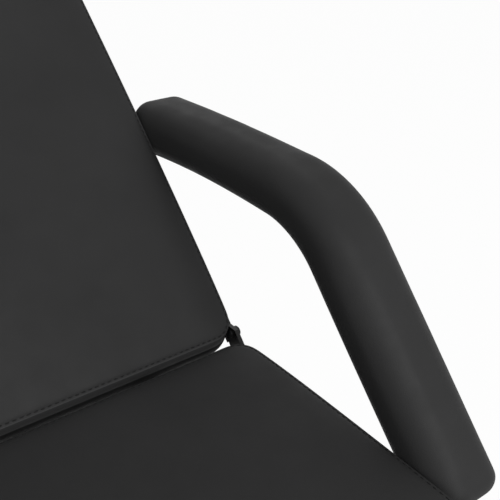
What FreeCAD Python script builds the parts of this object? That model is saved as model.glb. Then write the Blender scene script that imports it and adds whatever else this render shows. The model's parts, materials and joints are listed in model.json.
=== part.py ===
"""Massage table: raised backrest, seat, legrest and two padded armrests on a splayed steel frame.

Millimetres. +X runs from head to foot, +Y to the user's left, +Z up. The origin is on the floor,
below the middle of the table's box as it stands with the backrest raised.
"""
import FreeCAD, Part
import Sketcher
import math
import os
import re
from FreeCAD import Placement, Rotation, Vector

os.makedirs("parts", exist_ok=True)
doc = FreeCAD.newDocument("massage_table")

# Driving sizes: name, value, what it is
SIZES = [
    ("seat_top", "635", "sewn edge of the seat above the floor"),
    ("cushion_width", "460", "all three cushions, side to side"),
    ("cushion_depth", "70", "cushion from its underside to the sewn edge"),
    ("cushion_corner", "36", "corner radius of the cushions in plan"),
    ("cushion_crown", "4", "middle of the cushion above its sewn edge"),
    ("crown_rim", "14", "width of the rounded rim inside the sewn edge"),
    ("crown_flat", "60", "distance from the sewn edge to the flat middle"),
    ("edge_draw", "3", "how far the cover is drawn in at the sewn edge and the underside"),
    ("board_depth", "12", "plywood board"),
    ("board_margin", "12", "board inside the cushion's side"),
    ("board_clearance", "0.2", "board in the cushion's recess"),
    ("backrest_length", "750", "backrest cushion"),
    ("seat_length", "490", "seat cushion"),
    ("legrest_length", "505", "legrest cushion"),
    ("back_gap", "22.4", "seat to backrest when flat"),
    ("leg_gap", "24", "seat to legrest when level"),
    ("backrest_angle", "46", "backrest above level"),
    ("head_taper", "20", "backrest narrower at the head, each side"),
    ("head_corner", "60", "corner radius at the head"),
    ("rail_depth", "40", "side rail tube, height"),
    ("rail_width", "20", "side rail tube, width"),
    ("rail_centre", "150", "side rail from the middle"),
    ("rail_rear", "310", "side rail behind the seat's back edge"),
    ("rail_inset", "25", "side rail's front end inside the seat's front edge"),
    ("cross_width", "30", "square cross tubes"),
    ("cross_inset", "20", "seat cross tubes inside the seat's ends"),
    ("frame_width", "20", "square tubes of the backrest and legrest frames"),
    ("frame_inset", "14", "frame's near end inside the cushion's near end"),
    ("backrest_frame", "430", "length of the backrest frame"),
    ("legrest_frame", "465", "length of the legrest frame"),
    ("tube_wall", "1.5", "wall of the square tubes"),
    ("tube_round", "2.5", "outer corner radius of the square tubes"),
    ("cap_depth", "3", "plastic end cap outside the tube"),
    ("cap_plug", "12", "end cap inside the tube"),
    ("cap_clearance", "0.2", "end cap's plug in the tube"),
    ("hinge_setback", "27.2", "backrest pivot behind the seat's back edge"),
    ("hinge_drop", "7", "backrest pivot below the sewn edge"),
    ("hinge_round", "10", "round end of the hinge plates"),
    ("hinge_slant", "48", "fixed hinge plate's slope down from the backrest pivot"),
    ("hinge_slope", "38", "length of that slope"),
    ("slope_over", "14", "sloping plate's upper edge from the pivot"),
    ("slope_under", "12", "sloping plate's lower edge from the pivot"),
    ("tip_rise", "10", "sloping plate's level tip above the pivot"),
    ("tip_back", "5", "level tip behind the pivot"),
    ("hinge_arm", "120", "hinge arm's far end from its pivot"),
    ("arm_link", "66", "backrest hinge arm beside the cushion, from the pivot"),
    ("arm_round", "7", "round end of the backrest hinge arm"),
    ("arm_under", "27", "that stretch's lower edge below the pivot"),
    ("arm_depth", "20", "that stretch, top to bottom"),
    ("arm_width", "26", "upright of the backrest hinge arm"),
    ("plate_depth", "5", "hinge plates and lugs"),
    ("plate_gap", "0.5", "between the two plates of a hinge"),
    ("plate_out", "1", "fixed hinge plates beyond the cushion's side"),
    ("side_inset", "10", "side tubes of the moving frames inside the cushion's side"),
    ("pin_radius", "4", "pivot pins"),
    ("pin_clearance", "0.05", "pivot pin in its hole"),
    ("pin_head_radius", "5.5", "head of a pivot pin"),
    ("pin_head_depth", "1.5", "head of a pivot pin"),
    ("strut_reach", "300", "backrest pivot to both ends of its gas spring"),
    ("strut_spread", "60", "angle between those two lines when flat"),
    ("leg_strut_reach", "280", "legrest pivot to both ends of its gas spring"),
    ("leg_strut_spread", "123", "angle between those two lines when level"),
    ("lug_drop", "18", "gas spring's upper pivot below the frame tubes"),
    ("eye_radius", "12", "round eyes and lugs of the gas springs"),
    ("eye_width", "20", "eyes of the gas springs"),
    ("lug_gap", "0.5", "between an eye and its lugs"),
    ("spring_radius", "14", "gas spring's cylinder"),
    ("spring_wall", "2", "gas spring's cylinder wall"),
    ("spring_neck", "9", "neck between eye and cylinder, radius"),
    ("spring_start", "16", "cylinder's closed end from the lower pivot"),
    ("spring_length", "256", "cylinder's open end from the lower pivot"),
    ("guide_depth", "12", "rod guide in the cylinder's open end"),
    ("rod_radius", "5", "gas spring's rod"),
    ("rod_length", "265", "rod's inner end from the upper pivot"),
    ("rod_clearance", "0.3", "rod in its guide, piston in its bore"),
    ("piston_depth", "12", "piston on the rod's inner end"),
    ("head_radius", "14", "release head round the upper pivot"),
    ("head_neck", "10", "release head's neck, radius"),
    ("head_length", "30", "release head from the upper pivot along the rod"),
    ("head_hold", "16", "rod's outer end from the upper pivot"),
    ("lever_offset", "40", "lever's pivot beyond the gas spring's upper pivot"),
    ("lever_nose", "23", "lever's nose short of its pivot"),
    ("lever_width", "16", "flat bar of the lever"),
    ("lever_depth", "5", "flat bar of the lever"),
    ("lever_eye", "8", "lever's eye, radius"),
    ("lever_length", "290", "backrest lever beyond its pivot"),
    ("leg_lever_length", "128", "legrest lever beyond its pivot"),
    ("lever_pin_radius", "3", "pivot pin of the lever"),
    ("grip_length", "80", "moulded grip on the lever's end"),
    ("grip_width", "24", "moulded grip"),
    ("grip_depth", "12", "moulded grip"),
    ("grip_round", "4", "edges of the moulded grip"),
    ("leg_width", "30", "square leg tubes"),
    ("rear_leg_back", "200", "top of the rear legs behind the seat's back edge"),
    ("front_leg_inset", "90", "top of the front legs inside the seat's front edge"),
    ("leg_splay", "120", "legs' feet further out along the table"),
    ("leg_spread", "100", "legs' feet further out to the side"),
    ("foot_depth", "12", "rubber foot below the leg"),
    ("foot_width", "38", "rubber foot"),
    ("foot_round", "6", "upright corners of the rubber foot"),
    ("foot_plug", "20", "rubber foot inside the leg"),
    ("lug_rise", "27", "gas springs' lower pivots above the lower bars, at least"),
    ("stretcher_depth", "30", "side stretchers, height"),
    ("stretcher_width", "20", "side stretchers, width"),
    ("bolt_radius", "3", "board bolts"),
    ("bolt_clearance", "0.1", "board bolts in their holes"),
    ("bolt_head_radius", "6", "board bolts' heads"),
    ("bolt_head_depth", "3.5", "board bolts' heads"),
    ("bolt_bite", "9", "board bolts inside the board"),
    ("bolt_spacing", "200", "board bolts, side to side"),
    ("pad_width", "80", "armrest pad, side to side"),
    ("pad_depth", "67", "armrest pad, top to bottom"),
    ("pad_corner", "25", "armrest pad's long edges"),
    ("pad_end_round", "14", "armrest pad's end edges"),
    ("pad_clearance", "0.1", "core tube in the pad"),
    ("armrest_gap", "2", "armrest pad beside the cushions"),
    ("armrest_rise", "198", "middle of the armrest above the sewn edge"),
    ("armrest_slope", "48", "front stretch of the armrest below level"),
    ("elbow_reach", "83", "armrest's corner ahead of the seat's back edge"),
    ("elbow_round", "135", "bend at that corner"),
    ("pad_rear", "262", "armrest pad's rear end behind the seat's back edge"),
    ("pad_front", "328", "armrest pad's front end from the corner"),
    ("core_radius", "11", "bent tube inside the armrest"),
    ("core_wall", "2", "bent tube inside the armrest"),
    ("core_out", "27", "front corner of the tube beyond the pad's front end"),
    ("core_bend", "50", "front bend of the tube"),
    ("rear_out", "34", "rear post behind the pad's rear end"),
    ("rear_bend", "30", "rear bend of the tube"),
    ("socket_radius", "15", "armrest sockets"),
    ("socket_length", "60", "armrest sockets"),
    ("socket_floor", "4", "closed bottom of a socket"),
    ("socket_clearance", "0.3", "post in its socket"),
    ("bracket_width", "25", "square bar from the rail to a socket"),
    ("boss_radius", "9", "threaded boss on the front sockets"),
    ("boss_depth", "10", "threaded boss on the front sockets"),
    ("screw_radius", "4", "clamping screw"),
    ("screw_clearance", "0.1", "clamping screw in its boss"),
    ("knob_radius", "20", "star knob"),
    ("knob_depth", "16", "star knob"),
    ("knob_gap", "1", "star knob off its boss"),
    ("knob_round", "3", "edges of the star knob"),
    ("scallop_radius", "7", "finger hollows of the star knob"),
]
SCALLOPS = 6

# Stations and levels worked out from the driving sizes
WORKED_OUT = [
    ("backrest_reach", "=hinge_setback + (backrest_length + back_gap - hinge_setback) * cos(backrest_angle)"
                       " + (cushion_depth - hinge_drop) * sin(backrest_angle)"),
    ("seat_back", "=(backrest_reach - seat_length - leg_gap - legrest_length) / 2"),
    ("seat_front", "=seat_back + seat_length"),
    ("underside", "=seat_top - cushion_depth"),
    ("cross_z", "=underside - cross_width / 2"),
    ("rail_top", "=underside - cross_width"),
    ("rail_z", "=rail_top - rail_depth / 2"),
    ("frame_z", "=underside - frame_width / 2"),
    ("frame_under", "=underside - frame_width"),
    ("fixed_plate_y", "=cushion_width / 2 - plate_depth / 2 + plate_out"),
    ("moving_plate_y", "=fixed_plate_y + plate_depth + plate_gap"),
    ("side_tube_y", "=cushion_width / 2 - side_inset - frame_width / 2"),
    ("spacer_width", "=moving_plate_y - plate_depth / 2 - side_tube_y - frame_width / 2"),
    ("cross_length", "=2 * fixed_plate_y - plate_depth"),
    ("frame_tube_length", "=2 * side_tube_y - frame_width"),
    ("hinge_x", "=seat_back - hinge_setback"),
    ("hinge_z", "=seat_top - hinge_drop"),
    ("hinge_foot_x", "=hinge_x + hinge_slope * cos(hinge_slant)"),
    ("hinge_foot_z", "=hinge_z - hinge_slope * sin(hinge_slant)"),
    ("knee_x", "=seat_front + leg_gap / 2"),
    ("knee_z", "=cross_z"),
    ("backrest_end", "=seat_back - back_gap"),
    ("legrest_end", "=seat_front + leg_gap"),
    ("upper_z", "=frame_under - lug_drop"),
    ("strut_dip", "=asin((hinge_z - upper_z) / strut_reach) / 1 deg"),
    ("strut_turn", "=-strut_dip - (strut_spread - backrest_angle) / 2"),
    ("strut_low_x", "=hinge_x - strut_reach * cos(strut_dip + strut_spread)"),
    ("strut_low_z", "=hinge_z - strut_reach * sin(strut_dip + strut_spread)"),
    ("strut_high_x", "=hinge_x - strut_reach * cos(strut_dip)"),
    ("leg_strut_dip", "=asin((knee_z - upper_z) / leg_strut_reach) / 1 deg"),
    ("leg_strut_turn", "=leg_strut_dip + leg_strut_spread / 2"),
    ("leg_strut_low_x", "=knee_x + leg_strut_reach * cos(leg_strut_dip + leg_strut_spread)"),
    ("leg_strut_low_z", "=knee_z - leg_strut_reach * sin(leg_strut_dip + leg_strut_spread)"),
    ("leg_strut_high_x", "=knee_x + leg_strut_reach * cos(leg_strut_dip)"),
    ("backrest_far_tube_x", "=backrest_end - frame_inset - backrest_frame + frame_width / 2"),
    ("legrest_far_tube_x", "=legrest_end + frame_inset + legrest_frame - frame_width / 2"),
    ("bar_height", "=min(strut_low_z; leg_strut_low_z) - lug_rise - cross_width / 2"),
    ("leg_height", "=rail_top - rail_depth - foot_depth"),
    ("leg_lean", "=leg_splay / leg_height"),
    ("bar_fall", "=rail_top - rail_depth - bar_height"),
    ("stretcher_y", "=rail_centre + leg_spread * bar_fall / leg_height"),
    ("stretcher_mid", "=(seat_back - rear_leg_back + seat_front - front_leg_inset) / 2"),
    ("stretcher_length", "=seat_length + rear_leg_back - front_leg_inset + 2 * leg_lean * bar_fall - leg_width"),
    ("bar_length", "=2 * stretcher_y - stretcher_width"),
    ("bar_top", "=bar_height + cross_width / 2"),
    ("armrest_y", "=cushion_width / 2 + armrest_gap + pad_width / 2"),
    ("arm_z", "=seat_top + armrest_rise"),
    ("elbow_x", "=seat_back + elbow_reach"),
    ("pad_rear_x", "=seat_back - pad_rear"),
    ("rear_post_x", "=pad_rear_x - rear_out"),
    ("front_post_x", "=elbow_x + (pad_front + core_out) * cos(armrest_slope)"),
    ("front_bend_z", "=arm_z - (pad_front + core_out) * sin(armrest_slope)"
                     " - core_bend * tan(45 - armrest_slope / 2)"),
    ("elbow_start_x", "=elbow_x - elbow_round * tan(armrest_slope / 2)"),
    ("socket_bore", "=core_radius + socket_clearance"),
    ("socket_low_z", "=rail_z - socket_length / 2"),
    ("post_low_z", "=socket_low_z + socket_floor + socket_clearance"),
]

size = doc.addObject("Spreadsheet::Sheet", "size")
for row, (name, text, note) in enumerate(SIZES, 1):
    size.set(f"A{row}", name)
    size.set(f"B{row}", text)
    size.set(f"C{row}", note)
    size.setAlias(f"B{row}", name)
for row, (name, text) in enumerate(WORKED_OUT, len(SIZES) + 1):
    size.set(f"A{row}", name)
    size.set(f"B{row}", text)
    size.setAlias(f"B{row}", name)
doc.recompute()

NAMES = {entry[0] for entry in SIZES + WORKED_OUT}
SIDES = (("left", "1"), ("right", "-1"))
TURNS = {
    "X": Rotation(Vector(0, 1, 0), 90),
    "Y": Rotation(Vector(1, 0, 0), -90),
    "Z": Rotation(),
}
pieces = []


def formula(text):
    """Expression text in which each size's name points at its cell."""
    return re.sub(r"[a-z_]+", lambda word: ("size." if word[0] in NAMES else "") + word[0], text)


def bind(thing, **cells):
    for prop, text in cells.items():
        thing.setExpression(prop, formula(text))


def place(thing, x="0", y="0", z="0", raised=False, turn=None):
    """Put a piece at x, y, z. A raised piece is drawn flat and swung up about the backrest's pivot."""
    if raised:
        turn = "backrest_angle"
        along = f"({x} - hinge_x)"
        above = f"({z} - hinge_z)"
        x = f"hinge_x + {along} * cos({turn}) + {above} * sin({turn})"
        z = f"hinge_z - {along} * sin({turn}) + {above} * cos({turn})"
    if turn:
        thing.Placement = Placement(Vector(), Rotation(Vector(0, 1, 0), 1))
        thing.setExpression(".Placement.Rotation.Angle", formula(turn))
    for axis, text in zip("xyz", (x, y, z)):
        thing.setExpression(f".Placement.Base.{axis}", formula(text))
    return thing


def piece(thing, label):
    thing.Label = label
    pieces.append(thing)
    return thing


def box(x, y, z, length, width, height):
    """Box from its lowest corner."""
    solid = doc.addObject("Part::Box", "box")
    bind(solid, Length=length, Width=width, Height=height)
    return place(solid, x, y, z)


def rod(along, x, y, z, radius, length):
    """Cylinder from the middle of its first face."""
    solid = doc.addObject("Part::Cylinder", "rod")
    solid.Placement = Placement(Vector(), TURNS[along])
    bind(solid, Radius=radius, Height=length)
    return place(solid, x, y, z)


def fuse(*solids):
    whole = doc.addObject("Part::MultiFuse", "whole")
    whole.Shapes = list(solids)
    whole.Refine = True
    return whole


def cut(base, *tools):
    left = doc.addObject("Part::Cut", "left_over")
    left.Base = base
    left.Tool = fuse(*tools) if len(tools) > 1 else tools[0]
    left.Refine = True
    return left


def group(*solids):
    together = doc.addObject("Part::Compound", "group")
    together.Links = list(solids)
    return together


def new_body(name):
    return doc.addObject("PartDesign::Body", name)


def new_sketch(body, plane):
    drawing = body.newObject("Sketcher::SketchObject", "drawing")
    planes = {feature.Role: feature for feature in body.Origin.OriginFeatures}
    drawing.AttachmentSupport = [(planes[plane], "")]
    drawing.MapMode = "FlatFace"
    return drawing


def limit(drawing, kind, text, *where, start=10.0):
    """Add a dimension and bind it to its expression."""
    number = drawing.addConstraint(Sketcher.Constraint(kind, *where, start))
    drawing.setExpression(f"Constraints[{number}]", formula(text))


def hold(drawing, kind, *where):
    drawing.addConstraint(Sketcher.Constraint(kind, *where))


def rounded_rectangle(drawing, width, depth, radius):
    """Rectangle about the origin, four lines joined by four tangent arcs."""
    corner = 2.0
    across, up = 10.0, 8.0
    spots = [(across, -up, -90), (across, up, 0), (-across, up, 90), (-across, -up, 180)]
    ends = [((-across, -up - corner), (across, -up - corner)), ((across + corner, -up), (across + corner, up)),
            ((across, up + corner), (-across, up + corner)), ((-across - corner, up), (-across - corner, -up))]
    edges = []
    for (first, last), (x, y, angle) in zip(ends, spots):
        edges.append(drawing.addGeometry(Part.LineSegment(Vector(*first, 0), Vector(*last, 0)), False))
        circle = Part.Circle(Vector(x, y, 0), Vector(0, 0, 1), corner)
        arc = Part.ArcOfCircle(circle, math.radians(angle), math.radians(angle + 90))
        edges.append(drawing.addGeometry(arc, False))
    for edge, following in zip(edges, edges[1:] + edges[:1]):
        hold(drawing, "Tangent", edge, 2, following, 1)
    for edge, kind in zip(edges[::2], ("Horizontal", "Vertical", "Horizontal", "Vertical")):
        hold(drawing, kind, edge)
    for edge in edges[3::2]:
        hold(drawing, "Equal", edges[1], edge)
    hold(drawing, "Symmetric", edges[0], 1, edges[4], 1, -1, 1)
    limit(drawing, "DistanceX", width, edges[6], 1, edges[2], 1, start=2 * (across + corner))
    limit(drawing, "DistanceY", depth, edges[0], 1, edges[4], 1, start=2 * (up + corner))
    limit(drawing, "Radius", radius, edges[1], start=corner)


def circle(drawing, radius):
    """Circle about the origin."""
    edge = drawing.addGeometry(Part.Circle(Vector(), Vector(0, 0, 1), 10.0), False)
    hold(drawing, "Coincident", edge, 3, -1, 1)
    limit(drawing, "Radius", radius, edge)


def pad(body, drawing, length, side="Symmetric", back=False):
    feature = body.newObject("PartDesign::Pad", "pad")
    feature.Profile = drawing
    feature.SideType = side
    feature.Reversed = back
    bind(feature, Length=length)
    return feature


def pocket(body, drawing, length, side="Symmetric"):
    feature = body.newObject("PartDesign::Pocket", "pocket")
    feature.Profile = drawing
    feature.SideType = side
    bind(feature, Length=length)
    return feature


def round_edges(body, radius, wanted):
    """Fillet the edges of the body's last feature that wanted(edge) picks."""
    doc.recompute()
    last = body.Tip
    names = [f"Edge{number}" for number, edge in enumerate(last.Shape.Edges, 1) if wanted(edge)]
    feature = body.newObject("PartDesign::Fillet", "fillet")
    feature.Base = (last, names)
    bind(feature, Radius=radius)
    return feature


# Square and oblong tubes

def tube(along, length, width, depth, bolted=False):
    """Tube about the origin, along X or Y. A bolted one has two upright bolt holes."""
    body = new_body("tube")
    section = new_sketch(body, {"X": "YZ_Plane", "Y": "XZ_Plane"}[along])
    rounded_rectangle(section, width, depth, "tube_round")
    rounded_rectangle(section, f"{width} - 2 * tube_wall", f"{depth} - 2 * tube_wall", "tube_round - tube_wall")
    pad(body, section, length)
    if bolted:
        holes = new_sketch(body, "XY_Plane")
        spots = []
        for y in (20.0, -20.0):
            spots.append(holes.addGeometry(Part.Circle(Vector(0, y, 0), Vector(0, 0, 1), 3.0), False))
        hold(holes, "PointOnObject", spots[0], 3, -2)
        hold(holes, "Symmetric", spots[0], 3, spots[1], 3, -1, 1)
        hold(holes, "Equal", spots[0], spots[1])
        limit(holes, "DistanceY", "bolt_spacing / 2", -1, 1, spots[0], 3, start=20.0)
        limit(holes, "Radius", "bolt_radius + bolt_clearance", spots[0], start=3.0)
        pocket(body, holes, f"2 * {depth}")
    return body


def end_cap(x, y, z, width, depth, outwards):
    """Cap on the end of a tube along X whose open end is at x."""
    plug_width = f"({width} - 2 * tube_wall - 2 * cap_clearance)"
    plug_depth = f"({depth} - 2 * tube_wall - 2 * cap_clearance)"
    cover_x = x if outwards > 0 else f"{x} - cap_depth"
    plug_x = f"{x} - cap_plug" if outwards > 0 else x
    return fuse(
        box(cover_x, f"{y} - {width} / 2", f"{z} - {depth} / 2", "cap_depth", width, depth),
        box(plug_x, f"{y} - {plug_width} / 2", f"{z} - {plug_depth} / 2", "cap_plug", plug_width, plug_depth))


def board_bolts(stations, tube_under, tube_depth):
    """Bolts that pass up through the cross tubes into the board."""
    bolts = []
    for x in stations:
        for name, side in SIDES:
            y = f"{side} * bolt_spacing / 2"
            shank = rod("Z", x, y, tube_under, "bolt_radius", f"{tube_depth} + bolt_bite")
            head = rod("Z", x, y, f"{tube_under} - bolt_head_depth", "bolt_head_radius", "bolt_head_depth")
            bolts.append(fuse(shank, head))
    return bolts


def pin(x, z, first_y, last_y, radius="pin_radius"):
    """Headed pivot pin along Y through everything between two faces."""
    head = "pin_head_depth"
    return fuse(
        rod("Y", x, first_y, z, radius, f"{last_y} - ({first_y})"),
        rod("Y", x, f"{first_y} - {head}", z, "pin_head_radius", head),
        rod("Y", x, last_y, z, "pin_head_radius", head))


# Base frame

def base_frame():
    rail_length = "rail_rear + seat_length - rail_inset"
    rail_front = "(seat_front - rail_inset)"
    rail_back = "(seat_back - rail_rear)"
    caps = []
    for name, side in SIDES:
        rail = tube("X", rail_length, "rail_width", "rail_depth")
        place(rail, f"({rail_front} + {rail_back}) / 2", f"{side} * rail_centre", "rail_z")
        piece(rail, f"rail_{name}")
        for x, outwards in ((rail_front, 1), (rail_back, -1)):
            caps.append(end_cap(x, f"{side} * rail_centre", "rail_z", "rail_width", "rail_depth", outwards))
    piece(group(*caps), "rail_end_caps")
    rear_x = "seat_back + cross_inset + cross_width / 2"
    front_x = "seat_front - cross_inset - cross_width / 2"
    for name, x in (("rear", rear_x), ("front", front_x)):
        cross = tube("Y", "cross_length", "cross_width", "cross_width", bolted=True)
        piece(place(cross, x, "0", "cross_z"), f"seat_{name}_tube")
    bolts = board_bolts((rear_x, front_x), "rail_top", "cross_width")
    piece(group(*bolts), "seat_bolts")


def slanted_square(x, y, z, outer, hole, sideways, endways, height):
    """Square bar or tube that leans, with level ends: a level square drawn up along a slant."""
    drawing = doc.addObject("Sketcher::SketchObject", "drawing")
    rounded_rectangle(drawing, outer, outer, "tube_round")
    if hole:
        rounded_rectangle(drawing, hole, hole, "tube_round - tube_wall")
    place(drawing, x, y, z)
    bar = doc.addObject("Part::Extrusion", "slant")
    bar.Base = drawing
    bar.DirMode = "Custom"
    bar.Solid = True
    for axis, text in zip("xyz", (endways, sideways, height)):
        bar.setExpression(f"Dir.{axis}", formula(text))
    length = f"sqrt(({endways}) * ({endways}) + ({sideways}) * ({sideways}) + ({height}) * ({height}))"
    bind(bar, LengthFwd=length)
    return bar


def legs_and_feet():
    feet = []
    ends = (("rear", "seat_back - rear_leg_back", "-1"), ("front", "seat_front - front_leg_inset", "1"))
    hollow = "leg_width - 2 * tube_wall"
    for end, top_x, outwards in ends:
        for name, side in SIDES:
            x = f"{top_x} + {outwards} * leg_splay"
            y = f"{side} * (rail_centre + leg_spread)"
            endways = f"-({outwards}) * leg_splay"
            sideways = f"-({side}) * leg_spread"
            leg = slanted_square(x, y, "foot_depth", "leg_width", hollow, sideways, endways, "leg_height")
            piece(leg, f"{end}_leg_{name}")
            share = "foot_plug / leg_height"
            plug = slanted_square(x, y, "foot_depth", f"{hollow} - 2 * cap_clearance", None,
                                  f"{sideways} * {share}", f"{endways} * {share}", "foot_plug")
            sole = new_body("sole")
            outline = new_sketch(sole, "XY_Plane")
            rounded_rectangle(outline, "foot_width", "foot_width", "foot_round")
            pad(sole, outline, "foot_depth", side="One side")
            feet.append(fuse(place(sole, x, y, "0"), plug))
    piece(group(*feet), "feet")


def stretcher():
    """Side stretcher along X whose ends lie flat on the leaning legs."""
    body = new_body("stretcher")
    outline = new_sketch(body, "XZ_Plane")
    corners = [Vector(-30, -5, 0), Vector(30, -5, 0), Vector(28, 5, 0), Vector(-28, 5, 0)]
    lines = []
    for first, last in zip(corners, corners[1:] + corners[:1]):
        lines.append(outline.addGeometry(Part.LineSegment(first, last), False))
    for line, following in zip(lines, lines[1:] + lines[:1]):
        hold(outline, "Coincident", line, 2, following, 1)
    hold(outline, "Symmetric", lines[0], 1, lines[0], 2, -2)
    hold(outline, "Symmetric", lines[2], 1, lines[2], 2, -2)
    limit(outline, "DistanceX", "stretcher_length + leg_lean * stretcher_depth", lines[0], 1, lines[0], 2, start=60.0)
    limit(outline, "DistanceX", "stretcher_length - leg_lean * stretcher_depth", lines[2], 2, lines[2], 1, start=56.0)
    limit(outline, "DistanceY", "stretcher_depth / 2", lines[0], 1, -1, 1, start=5.0)
    limit(outline, "DistanceY", "stretcher_depth / 2", -1, 1, lines[2], 1, start=5.0)
    pad(body, outline, "stretcher_width")
    hollow = new_sketch(body, "XZ_Plane")
    rounded_rectangle(hollow, "stretcher_length + 2 * leg_width", "stretcher_depth - 2 * tube_wall", "tube_wall")
    pocket(body, hollow, "stretcher_width - 2 * tube_wall")
    return body


def lug_pair(x, z, low_z, high_z, reach="0"):
    """Two plates beside an eye at x, z, between two levels, drawn out along X by reach."""
    plates = []
    for y in ("eye_width / 2 + lug_gap", "-eye_width / 2 - lug_gap - plate_depth"):
        plates.append(rod("Y", x, y, z, "eye_radius", "plate_depth"))
        first = f"min({x}; {x} + ({reach}))"
        plates.append(box(f"{first} - eye_radius", y, low_z, f"2 * eye_radius + abs({reach})", "plate_depth",
                          f"{high_z} - ({low_z})"))
    return plates


def pin_hole(x, z, radius="pin_radius"):
    return rod("Y", x, "-cushion_width / 2", z, f"{radius} + pin_clearance", "cushion_width")


def lower_frame():
    for name, side in SIDES:
        piece(place(stretcher(), "stretcher_mid", f"{side} * stretcher_y", "bar_height"), f"stretcher_{name}")
    for name, x, z in (("rear", "strut_low_x", "strut_low_z"), ("front", "leg_strut_low_x", "leg_strut_low_z")):
        bar = place(tube("Y", "bar_length", "cross_width", "cross_width"), x, "0", "bar_height")
        whole = fuse(bar, *lug_pair(x, z, "bar_top", z))
        piece(cut(whole, pin_hole(x, z)), f"{name}_strut_bar")


# Hinges

def hinge_plates():
    """Fixed plates on the ends of the seat's cross tubes, and every pin that the base carries."""
    tube_front = "(seat_back + cross_inset + cross_width)"
    tube_back = "(seat_front - cross_inset - cross_width)"
    hole = "pin_radius + pin_clearance"
    pins = []
    for name, side in SIDES:
        y = f"{side} * fixed_plate_y - plate_depth / 2"
        left_x = "(hinge_foot_x - hinge_round)"
        slope = box("0", "0", "0", "hinge_slope", "plate_depth", "slope_under + slope_over")
        place(slope, "hinge_x - slope_under * sin(hinge_slant)", y, "hinge_z - slope_under * cos(hinge_slant)",
              turn="hinge_slant")
        upright = fuse(
            box(left_x, y, "rail_top", f"{tube_front} - {left_x}", "plate_depth", "cross_width"),
            box(left_x, y, "rail_top", "2 * hinge_round", "plate_depth", "hinge_foot_z - rail_top"),
            rod("Y", "hinge_foot_x", y, "hinge_foot_z", "hinge_round", "plate_depth"),
            slope,
            box("hinge_x - tip_back", y, "hinge_z", "tip_back + slope_over * sin(hinge_slant)", "plate_depth",
                "tip_rise"),
            rod("Y", "hinge_x", y, "hinge_z", "hinge_round", "plate_depth"))
        plate = cut(upright, rod("Y", "hinge_x", y, "hinge_z", hole, "plate_depth"))
        piece(plate, f"backrest_hinge_plate_{name}")
        level = fuse(
            box(tube_back, y, "knee_z - hinge_round", f"knee_x - {tube_back}", "plate_depth", "2 * hinge_round"),
            rod("Y", "knee_x", y, "knee_z", "hinge_round", "plate_depth"))
        plate = cut(level, rod("Y", "knee_x", y, "knee_z", hole, "plate_depth"))
        piece(plate, f"legrest_hinge_plate_{name}")
        inner = "(fixed_plate_y - plate_depth / 2)"
        outer = "(moving_plate_y + plate_depth / 2)"
        first, last = (inner, outer) if name == "left" else (f"-{outer}", f"-{inner}")
        pins += [pin("hinge_x", "hinge_z", first, last), pin("knee_x", "knee_z", first, last)]
    half = "(eye_width / 2 + lug_gap + plate_depth)"
    pins.append(pin("strut_low_x", "strut_low_z", f"-{half}", half))
    pins.append(pin("leg_strut_low_x", "leg_strut_low_z", f"-{half}", half))
    piece(group(*pins), "pivot_pins")


def arm_spacer(side, x, length, height):
    """Block welded between a side tube and the hinge arm outside it."""
    inner = "(side_tube_y + frame_width / 2)"
    y = inner if side == "1" else f"-{inner} - spacer_width"
    return box(x, y, "frame_under", length, "spacer_width", height)


def backrest_hinge_arm(side):
    """Flat-lying arm: from the pivot along the cushion's side, down past it, then along the side tube."""
    y = f"{side} * moving_plate_y - plate_depth / 2"
    far_x = "hinge_x - hinge_arm"
    upright_x = "hinge_x - arm_link"
    foot = "hinge_arm - arm_link + arm_width"
    arm = fuse(
        rod("Y", "hinge_x", y, "hinge_z", "arm_round", "plate_depth"),
        box("hinge_x - arm_round", y, "hinge_z - arm_under", "2 * arm_round", "plate_depth", "arm_under"),
        box(upright_x, y, "hinge_z - arm_under", "arm_link", "plate_depth", "arm_depth"),
        box(upright_x, y, "frame_under", "arm_width", "plate_depth", "hinge_z - arm_under - frame_under"),
        box(far_x, y, "frame_under", foot, "plate_depth", "frame_width"),
        arm_spacer(side, far_x, foot, "frame_width"))
    return cut(arm, rod("Y", "hinge_x", y, "hinge_z", "pin_radius + pin_clearance", "plate_depth"))


def legrest_hinge_arm(side):
    y = f"{side} * moving_plate_y - plate_depth / 2"
    height = "knee_z + hinge_round - frame_under"
    spacer_x = "(legrest_end + frame_inset)"
    arm = fuse(
        box("knee_x", y, "frame_under", "hinge_arm", "plate_depth", height),
        rod("Y", "knee_x", y, "knee_z", "hinge_round", "plate_depth"),
        arm_spacer(side, spacer_x, f"knee_x + hinge_arm - {spacer_x}", height))
    return cut(arm, rod("Y", "knee_x", y, "knee_z", "pin_radius + pin_clearance", "plate_depth"))


# Cushions and their boards

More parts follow.
